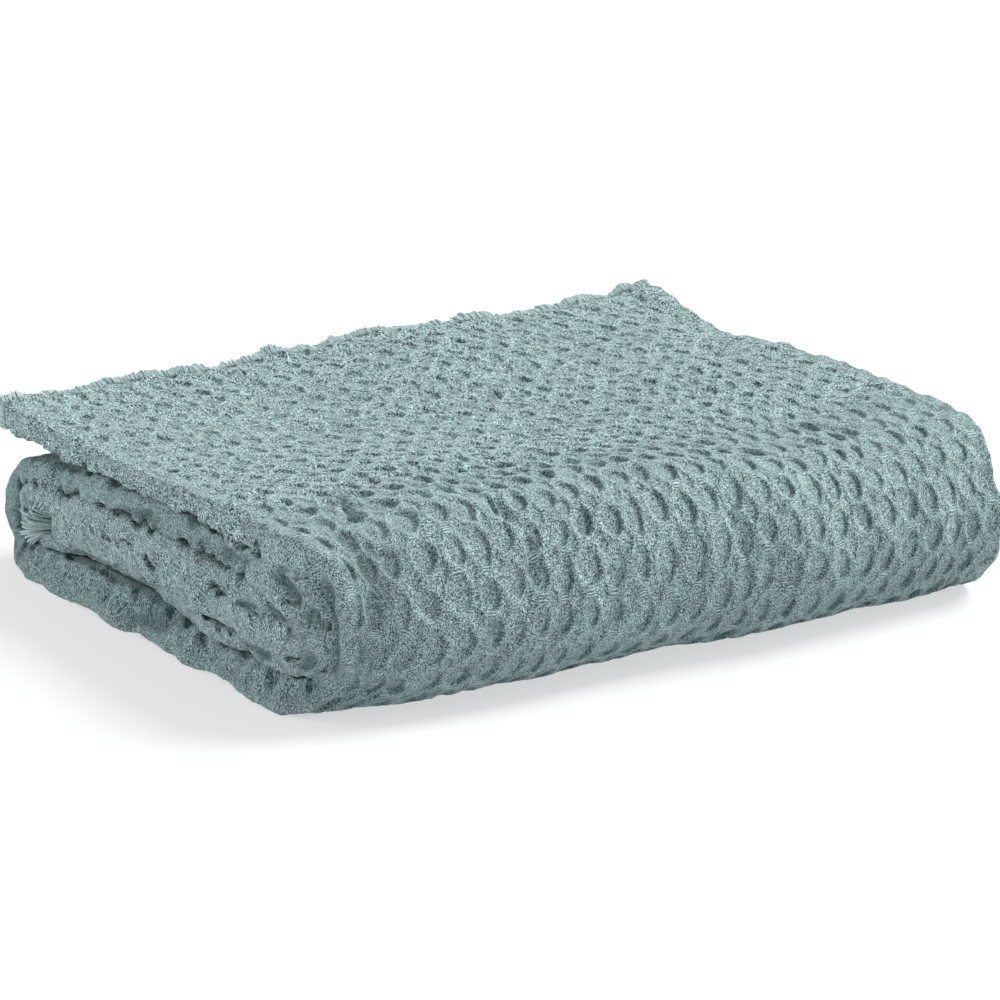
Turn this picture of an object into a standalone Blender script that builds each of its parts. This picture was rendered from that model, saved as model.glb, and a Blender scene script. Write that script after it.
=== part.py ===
"""A throw blanket of thick honeycomb cotton, folded into a flat bundle.

The throw is folded twice. First its two sides are folded over its middle, which makes a strip of three
plies as long as the bundle (X). Then the strip is wrapped front to back (Y) into six layers. The free
end of the top layer lies at the back edge, with its two corners lifted. Both woven ends are frayed.
Metres, +Z up, front at -Y. The bundle rests on z = 0.
"""

import math

import bmesh
import bpy
from mathutils import Vector

# ---- Driving dimensions -------------------------------------------------------------------------
BUNDLE_LENGTH = 0.432        # X, between the two folded sides
BUNDLE_DEPTH = 0.345         # Y, between the front fold and the back fold
PLY = 0.0040                 # thickness of the honeycomb cloth
PLY_GAP = 0.0006             # air between two plies of the strip
LAYER_GAP = 0.0014           # air between two layers of the bundle
PLIES = 3
LAYERS = 6
FLAP_OVERHANG = -0.002       # how far the top layer's free end passes the back fold
FRINGE_GAP = 0.0003          # between the cloth's woven end and the fringe's backing
FRINGE_BACKING = 0.0020      # length of the backing along the cloth
FRINGE_THICKNESS = 0.0026    # of the backing, where the weave ends
FRINGE_LENGTH = 0.0065       # mean length of a lock
FRINGE_PITCH = 0.0100        # distance from lock to lock

PLY_PITCH = PLY + PLY_GAP
STRIP = PLIES * PLY + (PLIES - 1) * PLY_GAP
LAYER_PITCH = STRIP + LAYER_GAP
HEIGHT = LAYERS * LAYER_PITCH - LAYER_GAP

# Folds of the wrap, all measured to the middle of the strip.
FRONT_RADII = [LAYER_PITCH * count for count in (2.5, 1.5, 0.5)]
BACK_RADII = [LAYER_PITCH * count for count in (2.0, 1.0)]
FRONT_CENTRE_Z = HEIGHT / 2
BACK_CENTRE_Z = HEIGHT / 2 - LAYER_PITCH / 2
FRONT_CENTRE_Y = -BUNDLE_DEPTH / 2 + FRONT_RADII[0] + STRIP / 2
BACK_CENTRE_Y = BUNDLE_DEPTH / 2 - BACK_RADII[0] - STRIP / 2
FLAP_END_Y = BUNDLE_DEPTH / 2 + FLAP_OVERHANG
INNER_END_Y = BACK_CENTRE_Y - 0.010

# How finely the solid follows its folds.
RUN_STEPS = 7                # along each flat layer
FRONT_STEPS = (9, 8, 6)      # round each front fold, outermost first
BACK_STEPS = (8, 6)          # round each back fold, outermost first
PLY_STEPS = 7                # across each ply
WIDE_NOSE_STEPS = 6          # round the fold that joins ply one and ply three
TIGHT_NOSE_STEPS = 4         # round the fold that joins ply one and ply two
FLAP_STATIONS = RUN_STEPS + 3  # path stations on the top layer

# Slump of the plain bundle into the real one.
CORNER_PULL = {"front_left": 0.014, "front_right": 0.006, "back_left": 0.006, "back_right": 0.009}
CORNER_REACH = 0.060         # the upright corners are drawn in over this distance from each side
LEFT_LIFT = 0.003            # rise of the flap's back left corner
RIGHT_LIFT = 0.002           # rise of the flap's back right corner
LEFT_SKEW = 0.007            # how far the flap's back left corner draws back from the others
CROWN = 0.003                # rise of the top from its left side to its right
LAYER_WAVE = 0.0022          # how far the inner layers wander up and down

BOX_SHIFT_X = 0.00104        # brings the middle of the finished bundle's box to the origin
BOX_SHIFT_Y = -0.00568

# Swells and hollows of the top. x is a share of the length, y is in metres from the middle.
TOP_SWELLS = (
    {"x": 0.97, "y": -0.030, "reach": 0.170, "rise": 0.0045, "with_flap": True},
    {"x": 0.00, "y": -0.170, "reach": 0.130, "rise": -0.0050, "with_flap": True},
    {"x": 0.55, "y": 0.100, "reach": 0.140, "rise": 0.0015, "with_flap": True},
    {"x": 0.00, "y": 0.170, "reach": 0.130, "rise": -0.0110, "with_flap": False},
)

# Slow waves that make the bundle uneven: height, wave lengths along X and Y, and phase.
TOP_WAVES = (
    {"height": 0.0016, "length_x": 0.290, "length_y": 0.410, "phase": 0.4},
    {"height": 0.0012, "length_x": 0.170, "length_y": -0.230, "phase": 2.1},
)
# Side noses: swell of each layer past the plain fold, from the bottom layer up.
LEFT_SWELL = (0.0045, -0.0020, 0.0010, 0.0030, 0.0015, -0.0030)
RIGHT_SWELL = (-0.0010, 0.0025, 0.0005, 0.0020, -0.0015, 0.0010)


def ramp(value, start, end):
    """Smooth 0 to 1 step between start and end."""
    t = min(1.0, max(0.0, (value - start) / (end - start)))
    return t * t * (3.0 - 2.0 * t)


# ---- Section of the strip -----------------------------------------------------------------------
def arc_points(centre_x, centre_n, radius, start, end, steps):
    """Middle-line stations (x, n, outward x, outward n) on an arc, its first point left out."""
    stations = []
    for i in range(1, steps + 1):
        angle = math.radians(start + (end - start) * i / steps)
        stations.append((centre_x + radius * math.cos(angle), centre_n + radius * math.sin(angle),
                         math.cos(angle), math.sin(angle)))
    return stations


def spread(count):
    """Shares from 0 to 1 that lie closer together at both ends, where the folds are."""
    return [(1.0 - math.cos(math.pi * i / count)) / 2 for i in range(count + 1)]


def run_points(x_start, x_end, n, side):
    """Middle-line stations on a flat ply, from x_start to x_end, both included."""
    return [(x_start + (x_end - x_start) * share, n, 0.0, side) for share in spread(PLY_STEPS)]


def strip_section():
    """The three-ply strip across X: ply two's selvedge, right nose, ply one, left nose, ply three."""
    tight = PLY_PITCH / 2
    left_x = PLY / 2 + PLY_PITCH
    right_x = BUNDLE_LENGTH - PLY / 2 - tight
    selvedge_x = BUNDLE_LENGTH - PLY / 2 - 2 * PLY_PITCH
    section = run_points(left_x, right_x, 0.0, -1.0)
    section += arc_points(right_x, tight, tight, -90, 90, TIGHT_NOSE_STEPS)
    section += run_points(right_x, left_x, PLY_PITCH, 1.0)[1:]
    section += arc_points(left_x, 0.0, PLY_PITCH, 90, 270, WIDE_NOSE_STEPS)
    section += run_points(left_x, selvedge_x, -PLY_PITCH, -1.0)[1:]
    return section


# ---- Path of the wrap ---------------------------------------------------------------------------
def level(number):
    """Height of the middle of a layer, number 0 at the bottom."""
    return STRIP / 2 + number * LAYER_PITCH


def straight(y_start, y_end, z, outward, steps):
    """Path stations (y, z, outward y, outward z) along a flat layer, both ends included."""
    return [(y_start + (y_end - y_start) * share, z, 0.0, outward) for share in spread(steps)]


def bend(centre_y, centre_z, radius, side, outward_up, steps):
    """Path stations round a fold, both ends left out; side is -1 at the front and 1 at the back."""
    stations = []
    for i in range(1, steps):
        angle = math.pi * i / steps
        up = math.cos(angle) * outward_up
        out = math.sin(angle) * side
        stations.append((centre_y + radius * out, centre_z + radius * up, out, up))
    return stations


def wrap_path():
    """From the flap's free end at the back, over the top and round the bundle to its core."""
    front, back = FRONT_CENTRE_Y, BACK_CENTRE_Y
    path = straight(FLAP_END_Y, front, level(5), 1.0, RUN_STEPS + 2)
    path += bend(front, FRONT_CENTRE_Z, FRONT_RADII[0], -1.0, 1.0, FRONT_STEPS[0])
    path += straight(front, back, level(0), -1.0, RUN_STEPS)
    path += bend(back, BACK_CENTRE_Z, BACK_RADII[0], 1.0, -1.0, BACK_STEPS[0])
    path += straight(back, front, level(4), 1.0, RUN_STEPS)
    path += bend(front, FRONT_CENTRE_Z, FRONT_RADII[1], -1.0, 1.0, FRONT_STEPS[1])
    path += straight(front, back, level(1), -1.0, RUN_STEPS)
    path += bend(back, BACK_CENTRE_Z, BACK_RADII[1], 1.0, -1.0, BACK_STEPS[1])
    path += straight(back, front, level(3), 1.0, RUN_STEPS)
    path += bend(front, FRONT_CENTRE_Z, FRONT_RADII[2], -1.0, 1.0, FRONT_STEPS[2])
    path += straight(front, INNER_END_Y, level(2), -1.0, RUN_STEPS)
    return path


# ---- Unevenness ---------------------------------------------------------------------------------
def flap_lift(x, y):
    """How far the flap's free end rises: its two back corners, and a little between them."""
    back = ramp(y, BUNDLE_DEPTH / 2 - 0.110, FLAP_END_Y)
    left = 1.0 - ramp(x, 0.0, 0.120)
    right = ramp(x, BUNDLE_LENGTH - 0.110, BUNDLE_LENGTH)
    return back * (LEFT_LIFT * left + RIGHT_LIFT * right)


def layer_swell(table, z):
    """Swell of a side nose at height z, eased from the middle of one layer to the next."""
    position = (z - STRIP / 2) / LAYER_PITCH
    lower = max(0, min(LAYERS - 1, math.floor(position)))
    upper = min(LAYERS - 1, lower + 1)
    blend = ramp(position - lower, 0.0, 1.0)
    return table[lower] * (1.0 - blend) + table[upper] * blend


def uneven(x, y, z, on_flap):
    """Moves a point of the plain bundle to its place in the slumped, uneven one."""
    near_left = 1.0 - ramp(x, 0.0, CORNER_REACH)
    near_right = ramp(x, BUNDLE_LENGTH - CORNER_REACH, BUNDLE_LENGTH)
    near_front = 1.0 - ramp(y, -BUNDLE_DEPTH / 2, -BUNDLE_DEPTH / 2 + CORNER_REACH)
    back = ramp(y, BUNDLE_DEPTH / 2 - CORNER_REACH, BUNDLE_DEPTH / 2)
    near_back = 0.0 if on_flap else back
    high = z / HEIGHT
    left_out = layer_swell(LEFT_SWELL, z) * (0.75 + 0.25 * math.sin(y / 0.041))
    right_out = layer_swell(RIGHT_SWELL, z) * (0.75 + 0.25 * math.sin(y / 0.047 + 1.0))
    new_x = x - near_left * left_out + near_right * right_out
    front_left = CORNER_PULL["front_left"] * near_front * near_left
    front_right = CORNER_PULL["front_right"] * near_front * near_right
    back_left = CORNER_PULL["back_left"] * near_back * near_left
    back_right = CORNER_PULL["back_right"] * near_back * near_right
    new_x += front_left + back_left - front_right - back_right
    new_y = y + front_left + front_right - back_left - back_right
    if on_flap:
        new_y -= LEFT_SKEW * near_left * back
    new_y += 0.0025 * math.sin(x / 0.060 + 0.6) * high + 0.0015 * math.sin(x / 0.027)
    wave = 0.0
    for row in TOP_WAVES:
        wave += row["height"] * math.sin(2 * math.pi * (x / row["length_x"] + y / row["length_y"]) + row["phase"])
    rise = CROWN * ramp(x, 0.0, BUNDLE_LENGTH * 0.8)
    for row in TOP_SWELLS:
        if row["with_flap"] or not on_flap:
            distance = math.hypot(x - row["x"] * BUNDLE_LENGTH, y - row["y"])
            rise += row["rise"] * (1.0 - ramp(distance, 0.0, row["reach"]))
    wander = LAYER_WAVE * math.sin(math.pi * high) * math.sin(y / 0.050 + x / 0.090)
    new_z = z + high * (wave + rise) + wander
    return new_x - BUNDLE_LENGTH / 2 + BOX_SHIFT_X, new_y + BOX_SHIFT_Y, new_z


def place(station, offset, path_station, on_flap):
    """World position of a point of the strip: offset is measured along the section's outward side."""
    x, n, side_x, side_n = station
    y, z, out_y, out_z = path_station
    x += side_x * offset
    n += side_n * offset
    point_y = y + n * out_y
    point_z = z + n * out_z
    if on_flap:
        point_z += flap_lift(x, point_y)
    return uneven(x, point_y, point_z, on_flap)


# ---- Solids -------------------------------------------------------------------------------------
def material(name, colour, roughness):
    """A Principled material of one colour."""
    made = bpy.data.materials.new(name)
    made.use_nodes = True
    shader = made.node_tree.nodes["Principled BSDF"]
    shader.inputs["Base Color"].default_value = (*colour, 1.0)
    shader.inputs["Roughness"].default_value = roughness
    shader.inputs["Metallic"].default_value = 0.0
    return made


def make_object(name, mesh_builder, made_material):
    """Turns a bmesh into a named object at the world's origin."""
    mesh = bpy.data.meshes.new(name)
    bmesh.ops.recalc_face_normals(mesh_builder, faces=mesh_builder.faces)
    mesh_builder.to_mesh(mesh)
    mesh_builder.free()
    mesh.materials.append(made_material)
    made = bpy.data.objects.new(name, mesh)
    bpy.context.collection.objects.link(made)
    return made


def ring_points(section, path_station, thickness, on_flap):
    """World positions of the strip's two faces at one path station, an (inner, outer) pair a station."""
    return [tuple(place(station, half, path_station, on_flap) for half in (-thickness / 2, thickness / 2))
            for station in section]


def skin(builder, rings):
    """Makes the strip's two faces and its two selvedges from rings of point pairs; returns the vertices."""
    made = [[[builder.verts.new(point) for point in pair] for pair in ring] for ring in rings]
    for here, there in zip(made, made[1:]):
        for i in range(len(here) - 1):
            for side in (0, 1):
                builder.faces.new((here[i][side], here[i + 1][side], there[i + 1][side], there[i][side]))
        for i in (0, len(here) - 1):
            builder.faces.new((here[i][0], here[i][1], there[i][1], there[i][0]))
    return made


def cap_faces(builder, ring):
    """Closes one end of the strip with a ladder of small faces, and returns them."""
    return [builder.faces.new((a[0], b[0], b[1], a[1])) for a, b in zip(ring, ring[1:])]


def finer_ring(section, ring):
    """Adds points on a ring's straight spans, one every half pitch of the fringe's locks."""
    finer = [ring[0]]
    for here, there, pair, next_pair in zip(section, section[1:], ring, ring[1:]):
        count = max(1, round(abs(there[0] - here[0]) / FRINGE_PITCH * 2))
        for i in range(1, count + 1):
            finer.append(tuple(Vector(a).lerp(Vector(b), i / count) for a, b in zip(pair, next_pair)))
    return finer


def throw_cloth(made_material):
    """The whole folded throw as one thin closed solid."""
    builder = bmesh.new()
    section = strip_section()
    rings = [ring_points(section, station, PLY, number < FLAP_STATIONS)
             for number, station in enumerate(wrap_path())]
    made = skin(builder, rings)
    cap_faces(builder, made[0])
    cap_faces(builder, made[-1])
    return make_object("throw_cloth", builder, made_material)


def fringe(name, end_station, on_flap, made_material):
    """A frayed woven end: a thin backing across the strip, with short tapered locks fused to it."""
    y, z, out_y, out_z = end_station
    section = strip_section()
    rings = []
    for reach in (FRINGE_GAP, FRINGE_GAP + FRINGE_BACKING):
        ring = ring_points(section, (y + reach, z, out_y, out_z), FRINGE_THICKNESS, on_flap)
        rings.append(finer_ring(section, ring))
    builder = bmesh.new()
    made = skin(builder, rings)
    cap_faces(builder, made[0])
    roots = cap_faces(builder, made[-1])
    for number, root in enumerate(roots[1:-1:2]):
        grow_lock(builder, root, number)
    return make_object(name, builder, made_material)


def grow_lock(builder, root, number):
    """Extrudes one four-sided lock from its root face, tapered, each with its own length and lean."""
    grown = bmesh.ops.extrude_discrete_faces(builder, faces=[root])["faces"][0]
    centre = grown.calc_center_median()
    length = FRINGE_LENGTH * (1.0 + 0.45 * math.sin(number * 2.4))
    lean = 0.0022 * math.sin(number * 1.7 + 0.5)
    rise = 0.0006 * math.sin(number * 3.1)
    for corner in grown.verts:
        corner.co = centre + (corner.co - centre) * 0.45
        corner.co.x += lean
        corner.co.y += length
        corner.co.z += rise


def main():
    """Clears the scene and builds the folded throw."""
    for leftover in list(bpy.data.objects):
        bpy.data.objects.remove(leftover, do_unlink=True)
    cloth_material = material("honeycomb_cotton", (0.235, 0.315, 0.318), 0.9)
    fringe_material = material("frayed_cotton", (0.300, 0.390, 0.392), 0.95)
    path = wrap_path()
    throw_cloth(cloth_material)
    fringe("fringe_outer", path[0], True, fringe_material)
    fringe("fringe_inner", path[-1], False, fringe_material)


main()
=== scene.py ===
"""Dresses a folded throw blanket of thick honeycomb cotton.

The throw is one sheet of cloth, 1.28 m by 1.96 m. Its sides are folded over its middle, which makes a strip
of three plies, and the strip is wrapped front to back into six layers. The sheet is made here in bands and
plies that meet edge to edge: five bands are the seen outer face, and the side folds, the selvedge and the
hidden plies are pieces of their own. The relief of the weave is in the mesh, the yarn is in the material.
The mesh also carries a share of painted shade for the hollows, creases and lowest rows, which the
material mixes into the yarn's colour.
Metres, +Z up, front at -Y.
"""

import math

import bpy
import numpy as np
from mathutils import Matrix, Vector


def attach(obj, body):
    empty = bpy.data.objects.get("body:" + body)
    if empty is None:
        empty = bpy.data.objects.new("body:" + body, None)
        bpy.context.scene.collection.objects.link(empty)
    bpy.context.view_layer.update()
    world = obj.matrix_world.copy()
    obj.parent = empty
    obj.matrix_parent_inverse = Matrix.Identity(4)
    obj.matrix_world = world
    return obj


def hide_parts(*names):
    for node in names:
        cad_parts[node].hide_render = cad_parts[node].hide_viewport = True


bl_info = {
    "name": "Folded Throw Blanket",
    "version": (1, 0, 0),
    "blender": (4, 5, 0),
    "location": "3D View > Sidebar > Throw",
    "description": "Makes the honeycomb cloth, frayed ends and plain studio of a folded throw blanket",
    "category": "Object",
}

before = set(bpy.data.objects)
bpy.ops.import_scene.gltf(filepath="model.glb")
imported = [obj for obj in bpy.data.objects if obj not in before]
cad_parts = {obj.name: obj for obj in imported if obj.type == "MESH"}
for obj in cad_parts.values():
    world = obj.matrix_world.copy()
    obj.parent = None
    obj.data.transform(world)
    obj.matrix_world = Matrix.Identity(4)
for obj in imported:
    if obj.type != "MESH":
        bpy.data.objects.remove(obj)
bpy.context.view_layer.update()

# ---- The folded bundle, as the frame has it -----------------------------------------------------
BUNDLE_LENGTH = 0.432        # X, between the two folded sides
BUNDLE_DEPTH = 0.345         # Y, between the front fold and the back fold
PLY = 0.0040                 # thickness of the cloth
PLY_PITCH = 0.0046           # from ply to ply of the strip
STRIP = 0.0132               # three plies
LAYER_PITCH = 0.0146         # from layer to layer of the bundle
LAYERS = 6
HEIGHT = 0.0862
FRONT_RADII = [LAYER_PITCH * count for count in (2.5, 1.5, 0.5)]
BACK_RADII = [LAYER_PITCH * count for count in (2.0, 1.0)]
FRONT_CENTRE = (-BUNDLE_DEPTH / 2 + FRONT_RADII[0] + STRIP / 2, HEIGHT / 2)
BACK_CENTRE = (BUNDLE_DEPTH / 2 - BACK_RADII[0] - STRIP / 2, HEIGHT / 2 - LAYER_PITCH / 2)
FLAP_END_Y = BUNDLE_DEPTH / 2 - 0.002
INNER_END_Y = BACK_CENTRE[0] - 0.010

# Section of the strip, all measured to the middle of the cloth.
TIGHT = PLY_PITCH / 2        # radius of the right nose, which joins ply two and ply one
WIDE = PLY_PITCH             # radius of the left nose, which joins ply one and ply three
LEFT_X = PLY / 2 + WIDE
RIGHT_X = BUNDLE_LENGTH - PLY / 2 - TIGHT
SELVEDGE_X = BUNDLE_LENGTH - PLY / 2 - 2 * PLY_PITCH
PLY_TWO_END = RIGHT_X - LEFT_X
RIGHT_NOSE_END = PLY_TWO_END + math.pi * TIGHT
PLY_ONE_END = RIGHT_NOSE_END + RIGHT_X - LEFT_X
LEFT_NOSE_END = PLY_ONE_END + math.pi * WIDE
CLOTH_WIDTH = LEFT_NOSE_END + SELVEDGE_X - LEFT_X

# Slump of the plain bundle, the same as in the solid.
CORNER_PULL = {"front_left": 0.014, "front_right": 0.006, "back_left": 0.006, "back_right": 0.009}
CORNER_REACH = 0.060
LEFT_LIFT = 0.003
RIGHT_LIFT = 0.002
LEFT_SKEW = 0.007
CROWN = 0.003
CROWN_SHARE = 0.8            # of the length, over which the top rises to its crown
LAYER_WAVE = 0.0022          # of the layers between the floor and the top, with its lengths along Y and X
LAYER_WAVE_LENGTHS = (0.050, 0.090)
LEFT_WAVE = (0.041, 0.0)     # along the side folds, where they stand out less here and there: length, phase
RIGHT_WAVE = (0.047, 1.0)
SWAY = (0.0025, 0.060, 0.6)  # of the upper layers to the front and back: amount, length, phase
RIPPLE = (0.0015, 0.027)     # of all layers to the front and back
BOX_SHIFT = (0.00104, -0.00568)
# Share of the length, y, reach, rise, and whether the free top layer follows it. The last one is only here.
TOP_SWELLS = (
    (0.97, -0.030, 0.170, 0.0045, True),
    (0.00, -0.170, 0.130, -0.0050, True),
    (0.55, 0.100, 0.140, 0.0015, True),
    (0.00, 0.170, 0.130, -0.0110, False),
    (1.00, 0.100, 0.065, -0.0060, True),
)
# Height, wave lengths along X and Y, phase.
TOP_WAVES = ((0.0016, 0.290, 0.410, 0.4), (0.0012, 0.170, -0.230, 2.1))
# How far the side folds of each layer stand out, from the lowest layer to the top one.
LEFT_SWELL = (0.0045, -0.0020, 0.0010, 0.0030, 0.0015, -0.0030)
RIGHT_SWELL = (-0.0010, 0.0025, 0.0005, 0.0020, -0.0015, 0.0010)

# ---- Making of the mesh -------------------------------------------------------------------------
REVERSE_STRIDE = 4           # the hidden face of a fine sheet has every fourth row and column
NORMAL_STEP = 0.0004         # over which the slope of the cloth is read
FOLD_MARGIN = 0.016          # of each flat ply beside a nose that is made finely
FOLD_TURN = 0.16             # radians from row to row of a hidden ply round a fold
SELVEDGE = 0.012
TIGHT_SPREAD = 1.2           # share by which the face is longer than the cloth's middle round a nose
WIDE_SPREAD = 0.7

# ---- Fullness of the folds ----------------------------------------------------------------------
NOSE_SQUARE = 6.0            # 2 is a round nose, more is a fuller one
NOSE_PUFF = 0.0032           # the layers swell this much where their noses press together
NOSE_PUFF_REACH = 0.030      # from the side of the bundle
NOSE_PUFF_WAVE = 0.014       # from fuller to flatter places along a nose
NOSE_PUFF_FRONT = (-0.16, -0.08)   # Y, over which the extra swell of the front fades
LIP_RISE = 0.0028            # of the flap's free end
LIP_WAVES = (0.026, 0.009)   # along the free end
LIP_SPAN = (-0.004, 0.016)   # along the wrap, over which the rise fades
FLAP_LIFT_REACH = {"back": 0.110, "left": 0.120, "right": 0.110}
FRONT_SWELL = 0.0125         # the stack is this much fuller along its front, less so towards the right end
FRONT_SWELL_X = (0.19, 0.43)       # over which it fades to the right
FRONT_SWELL_Y = (-0.115, 0.055)    # over which it fades to the back
EASE_REACH = 0.045
GROUND_GAP = 0.0002          # nothing lies lower than this

# ---- Relief of the face -------------------------------------------------------------------------
# The honeycomb's two lattices of hollows and the row on a nose: half sizes, as shares of a cell.
DEEP_HOLLOW = (0.375, 0.405)
SECOND_HOLLOW = (0.21, 0.26)
NOSE_HOLLOW = (0.31, 0.27)
HOLLOW_SHIFT = 0.16          # of a cell, by which a hollow may stand off its place
HOLLOW_SIZES = (0.84, 0.32)  # least size, and what chance adds
HOLLOW_DEPTHS = (0.66, 0.46)
HOLLOW_SKEW = 0.30
STEEP_SIDE = (-0.92, 0.38)   # the way from a hollow's middle to its steep wall
WALL_START, WALL_END = 0.64, 1.10   # from the middle of a hollow
WALL_SHIFT = 0.20            # by which the wall starts further out on the steep side
FLOOR_TILT = 0.36            # share by which the floor is deeper beside the steep wall
RIM_RISE, RIM_AT, RIM_WIDTH = 0.15, 1.22, 0.17
CRESCENT, CRESCENT_AT, CRESCENT_WIDTH = 0.9, 0.90, 0.19   # painted shade on the steep side of a hollow
DASH_AT, DASH_SIZE = (-0.15, 0.10), (0.70, 0.50)          # painted shade in the middle of a closed hollow
CROSSING_RISE = 0.20         # of the ridges where they cross
CROSSING_SIZE = (0.24, 0.15)
SLOW_WANDER = 0.34           # of a cell, by which the rows of hollows wander
ACROSS_WANDER, ALONG_WANDER = (0.070, 0.060), (0.065, 0.075)   # its lengths, for each way
QUICK_WANDER, QUICK_WANDER_LENGTH = 0.08, 0.012
FLOOR_LEVEL = -0.0013        # the deepest hollows level out here, from the middle of the cloth
FLOOR_SLOPE = 0.15           # share of the depth below that level which is kept

# Places where the honeycomb differs. The flat top is pressed a little closed.
FLAT_START, FLAT_END = (0.025, 0.060), (0.090, 0.040)   # from the flap's end, and before the front fold
FLAT_LOSS, FLAT_NARROWING = 0.10, 0.07
# painted shade in the middle of the hollows on the flat top, of the second hollows there, and near the
# front fold
FLAT_DASH, SECOND_DASH, BEND_DASH = 0.62, 0.35, 0.14
BEND_BEFORE, BEND_WIDTH = 0.008, 0.034   # the open cells just before the front fold
BEND_DEEPER = 0.2
PRESSED_LOSS = 0.65          # between layers
LOW_ROWS = (0.045, 0.100)    # along the front fold, over which its lowest rows begin
# on the lowest rows the hollows are deeper, their painted shade is stronger, and painted shade lies over
# all
LOW_ROWS_DEEPER, LOW_ROWS_DARKER, LOW_ROWS_SHADE = 0.35, 0.6, 0.34
# painted shade on the left noses round the back fold
BACK_NOSE_SHADE = 0.22
EDGE_THIN = 0.55             # share by which the cloth is thinner at its edges

# The noses of the side folds, where the cloth is stretched or crumpled.
NOSE_MARGIN = 0.006          # over which their look fades on the flat
NOSE_ROW = 0.0012            # from the start of a nose to its row of hollows
NOSE_CELL = 0.0165           # from hollow to hollow along a nose
NOSE_WANDER = (0.45, 0.16)   # of a cell
NOSE_DEPTH = 0.0030
# the nose hollows' painted shade, against that of the plain ones
NOSE_PAINTED_SHADE = 1.35
TOP_NOSE_LOSS, NOSE_LOSS, RIGHT_NOSE_LOSS = 0.93, 0.75, 0.5   # of the plain honeycomb
GROOVE_DEPTH = 0.0037        # of the gap that opens between two plies near the front left corner
GROOVE_WIDTH = 0.0018
GROOVE_OPENS, GROOVE_CLOSES = (0.16, 0.26), (0.62, 0.74)   # shares of the front fold
# painted shade of the groove at its deepest, as a share
GROOVE_SHADE = 0.9
CREVICE_DEPTH = 0.0032       # a crease this deep on a nose gets full painted shade, as a crevice
NOSE_CREASE = 0.25           # share by which a crease is deeper on a nose
CREASE_SHADE = 80.0          # painted shade share for each metre of a crease's depth
CREASE_WANDER, CREASE_WANDER_LENGTH = 0.0012, 0.009
# Lumps of the soft cloth: height on the flat, what a nose adds, size across and along.
LUMPS = (
    (0.00008, 0.0, 0.0030, 0.0026),
    (0.00030, 0.00085, 0.008, 0.009),
    (0.0013, 0.0007, 0.019, 0.017),
)

# ---- Loose yarn ---------------------------------------------------------------------------------
ROOT_DEPTH = 0.0030          # how far inside the cloth a yarn end starts
ROOT_MARGIN = 0.0008         # from the selvedges
YARN_SIDES, YARN_POINTS, CORE_YARN_POINTS = 5, 6, 7
TUFT_LENGTHS = (0.92, 0.20, 0.7)   # of the mean length: all tufts, what varies, and a tall tuft's extra
TALL_TUFTS = 0.95            # one tuft in twenty stands tall
TALL_TUFT_WIDTH = 0.0016
YARN_CURL = 0.0006           # over the cloth's face
CORE_YARN_RADIUS = 0.00080
CORE_YARN_REACH = 0.0160     # how far the tuft at the core stands out of the left end
CORE_YARN_SAG = 0.0030
CORE_FAN = (215.0, 170.0)    # degrees: where the tuft's fan starts, and how far it turns
YARN_TAPER = 0.35

# ---- Settling and creases -----------------------------------------------------------------------
# The bundle's left end has settled unevenly: how far the boundaries between its layers have moved up, from
# the floor to the top, at three places from front to back.
LEVEL_BOUNDS = (0.0, 0.0139, 0.0285, 0.0431, 0.0577, 0.0723, HEIGHT)
LEFT_SETTLE = (
    (-0.140, (0.000, 0.0070, 0.0055, 0.0060, 0.0050, 0.0030, 0.000)),
    (-0.040, (0.000, 0.0060, 0.0025, 0.0045, 0.0050, 0.0030, 0.000)),
    (0.085, (0.000, 0.0055, -0.0030, 0.0000, 0.0010, 0.0010, 0.000)),
)
SETTLE_REACH = 0.055

# Creases pressed into the cloth as soft troughs, with painted shade by their depth: start and end (u, s),
# half width and depth. The first seven are on the outer face, the others on the crumpled noses of the
# left end.
CREASES = (
    ((0.8000, 0.2577), (0.8143, 0.2972), 0.0026, 0.0032),
    ((0.7400, 0.3060), (0.7383, 0.3169), 0.0028, 0.0024),
    ((0.7328, 0.3252), (0.7345, 0.3420), 0.0026, 0.0020),
    ((0.8330, 0.3080), (0.8365, 0.3900), 0.0040, 0.0016),
    ((0.6100, 0.3250), (0.6020, 0.3600), 0.0038, 0.0014),
    ((0.5200, 0.2650), (0.4900, 0.2900), 0.0045, 0.0016),
    ((0.7000, 0.1100), (0.6300, 0.1450), 0.0060, 0.0014),
    ((0.8540, 1.0200), (0.8600, 1.0460), 0.0019, 0.0032),
    ((0.8600, 1.0560), (0.8545, 1.0700), 0.0019, 0.0034),
    ((0.8565, 1.0840), (0.8585, 1.1040), 0.0019, 0.0034),
    ((0.8600, 1.6150), (0.8590, 1.6600), 0.0015, 0.0030),
    ((0.8560, 1.6660), (0.8600, 1.6850), 0.0018, 0.0034),
    ((0.8604, 0.8700), (0.8570, 0.9100), 0.0015, 0.0024),
    ((0.8575, 0.9700), (0.8560, 0.9950), 0.0016, 0.0028),
    ((0.8594, 1.1300), (0.8555, 1.1560), 0.0019, 0.0034),
    ((0.8550, 0.5700), (0.8600, 0.5300), 0.0018, 0.0026),
)

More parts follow.
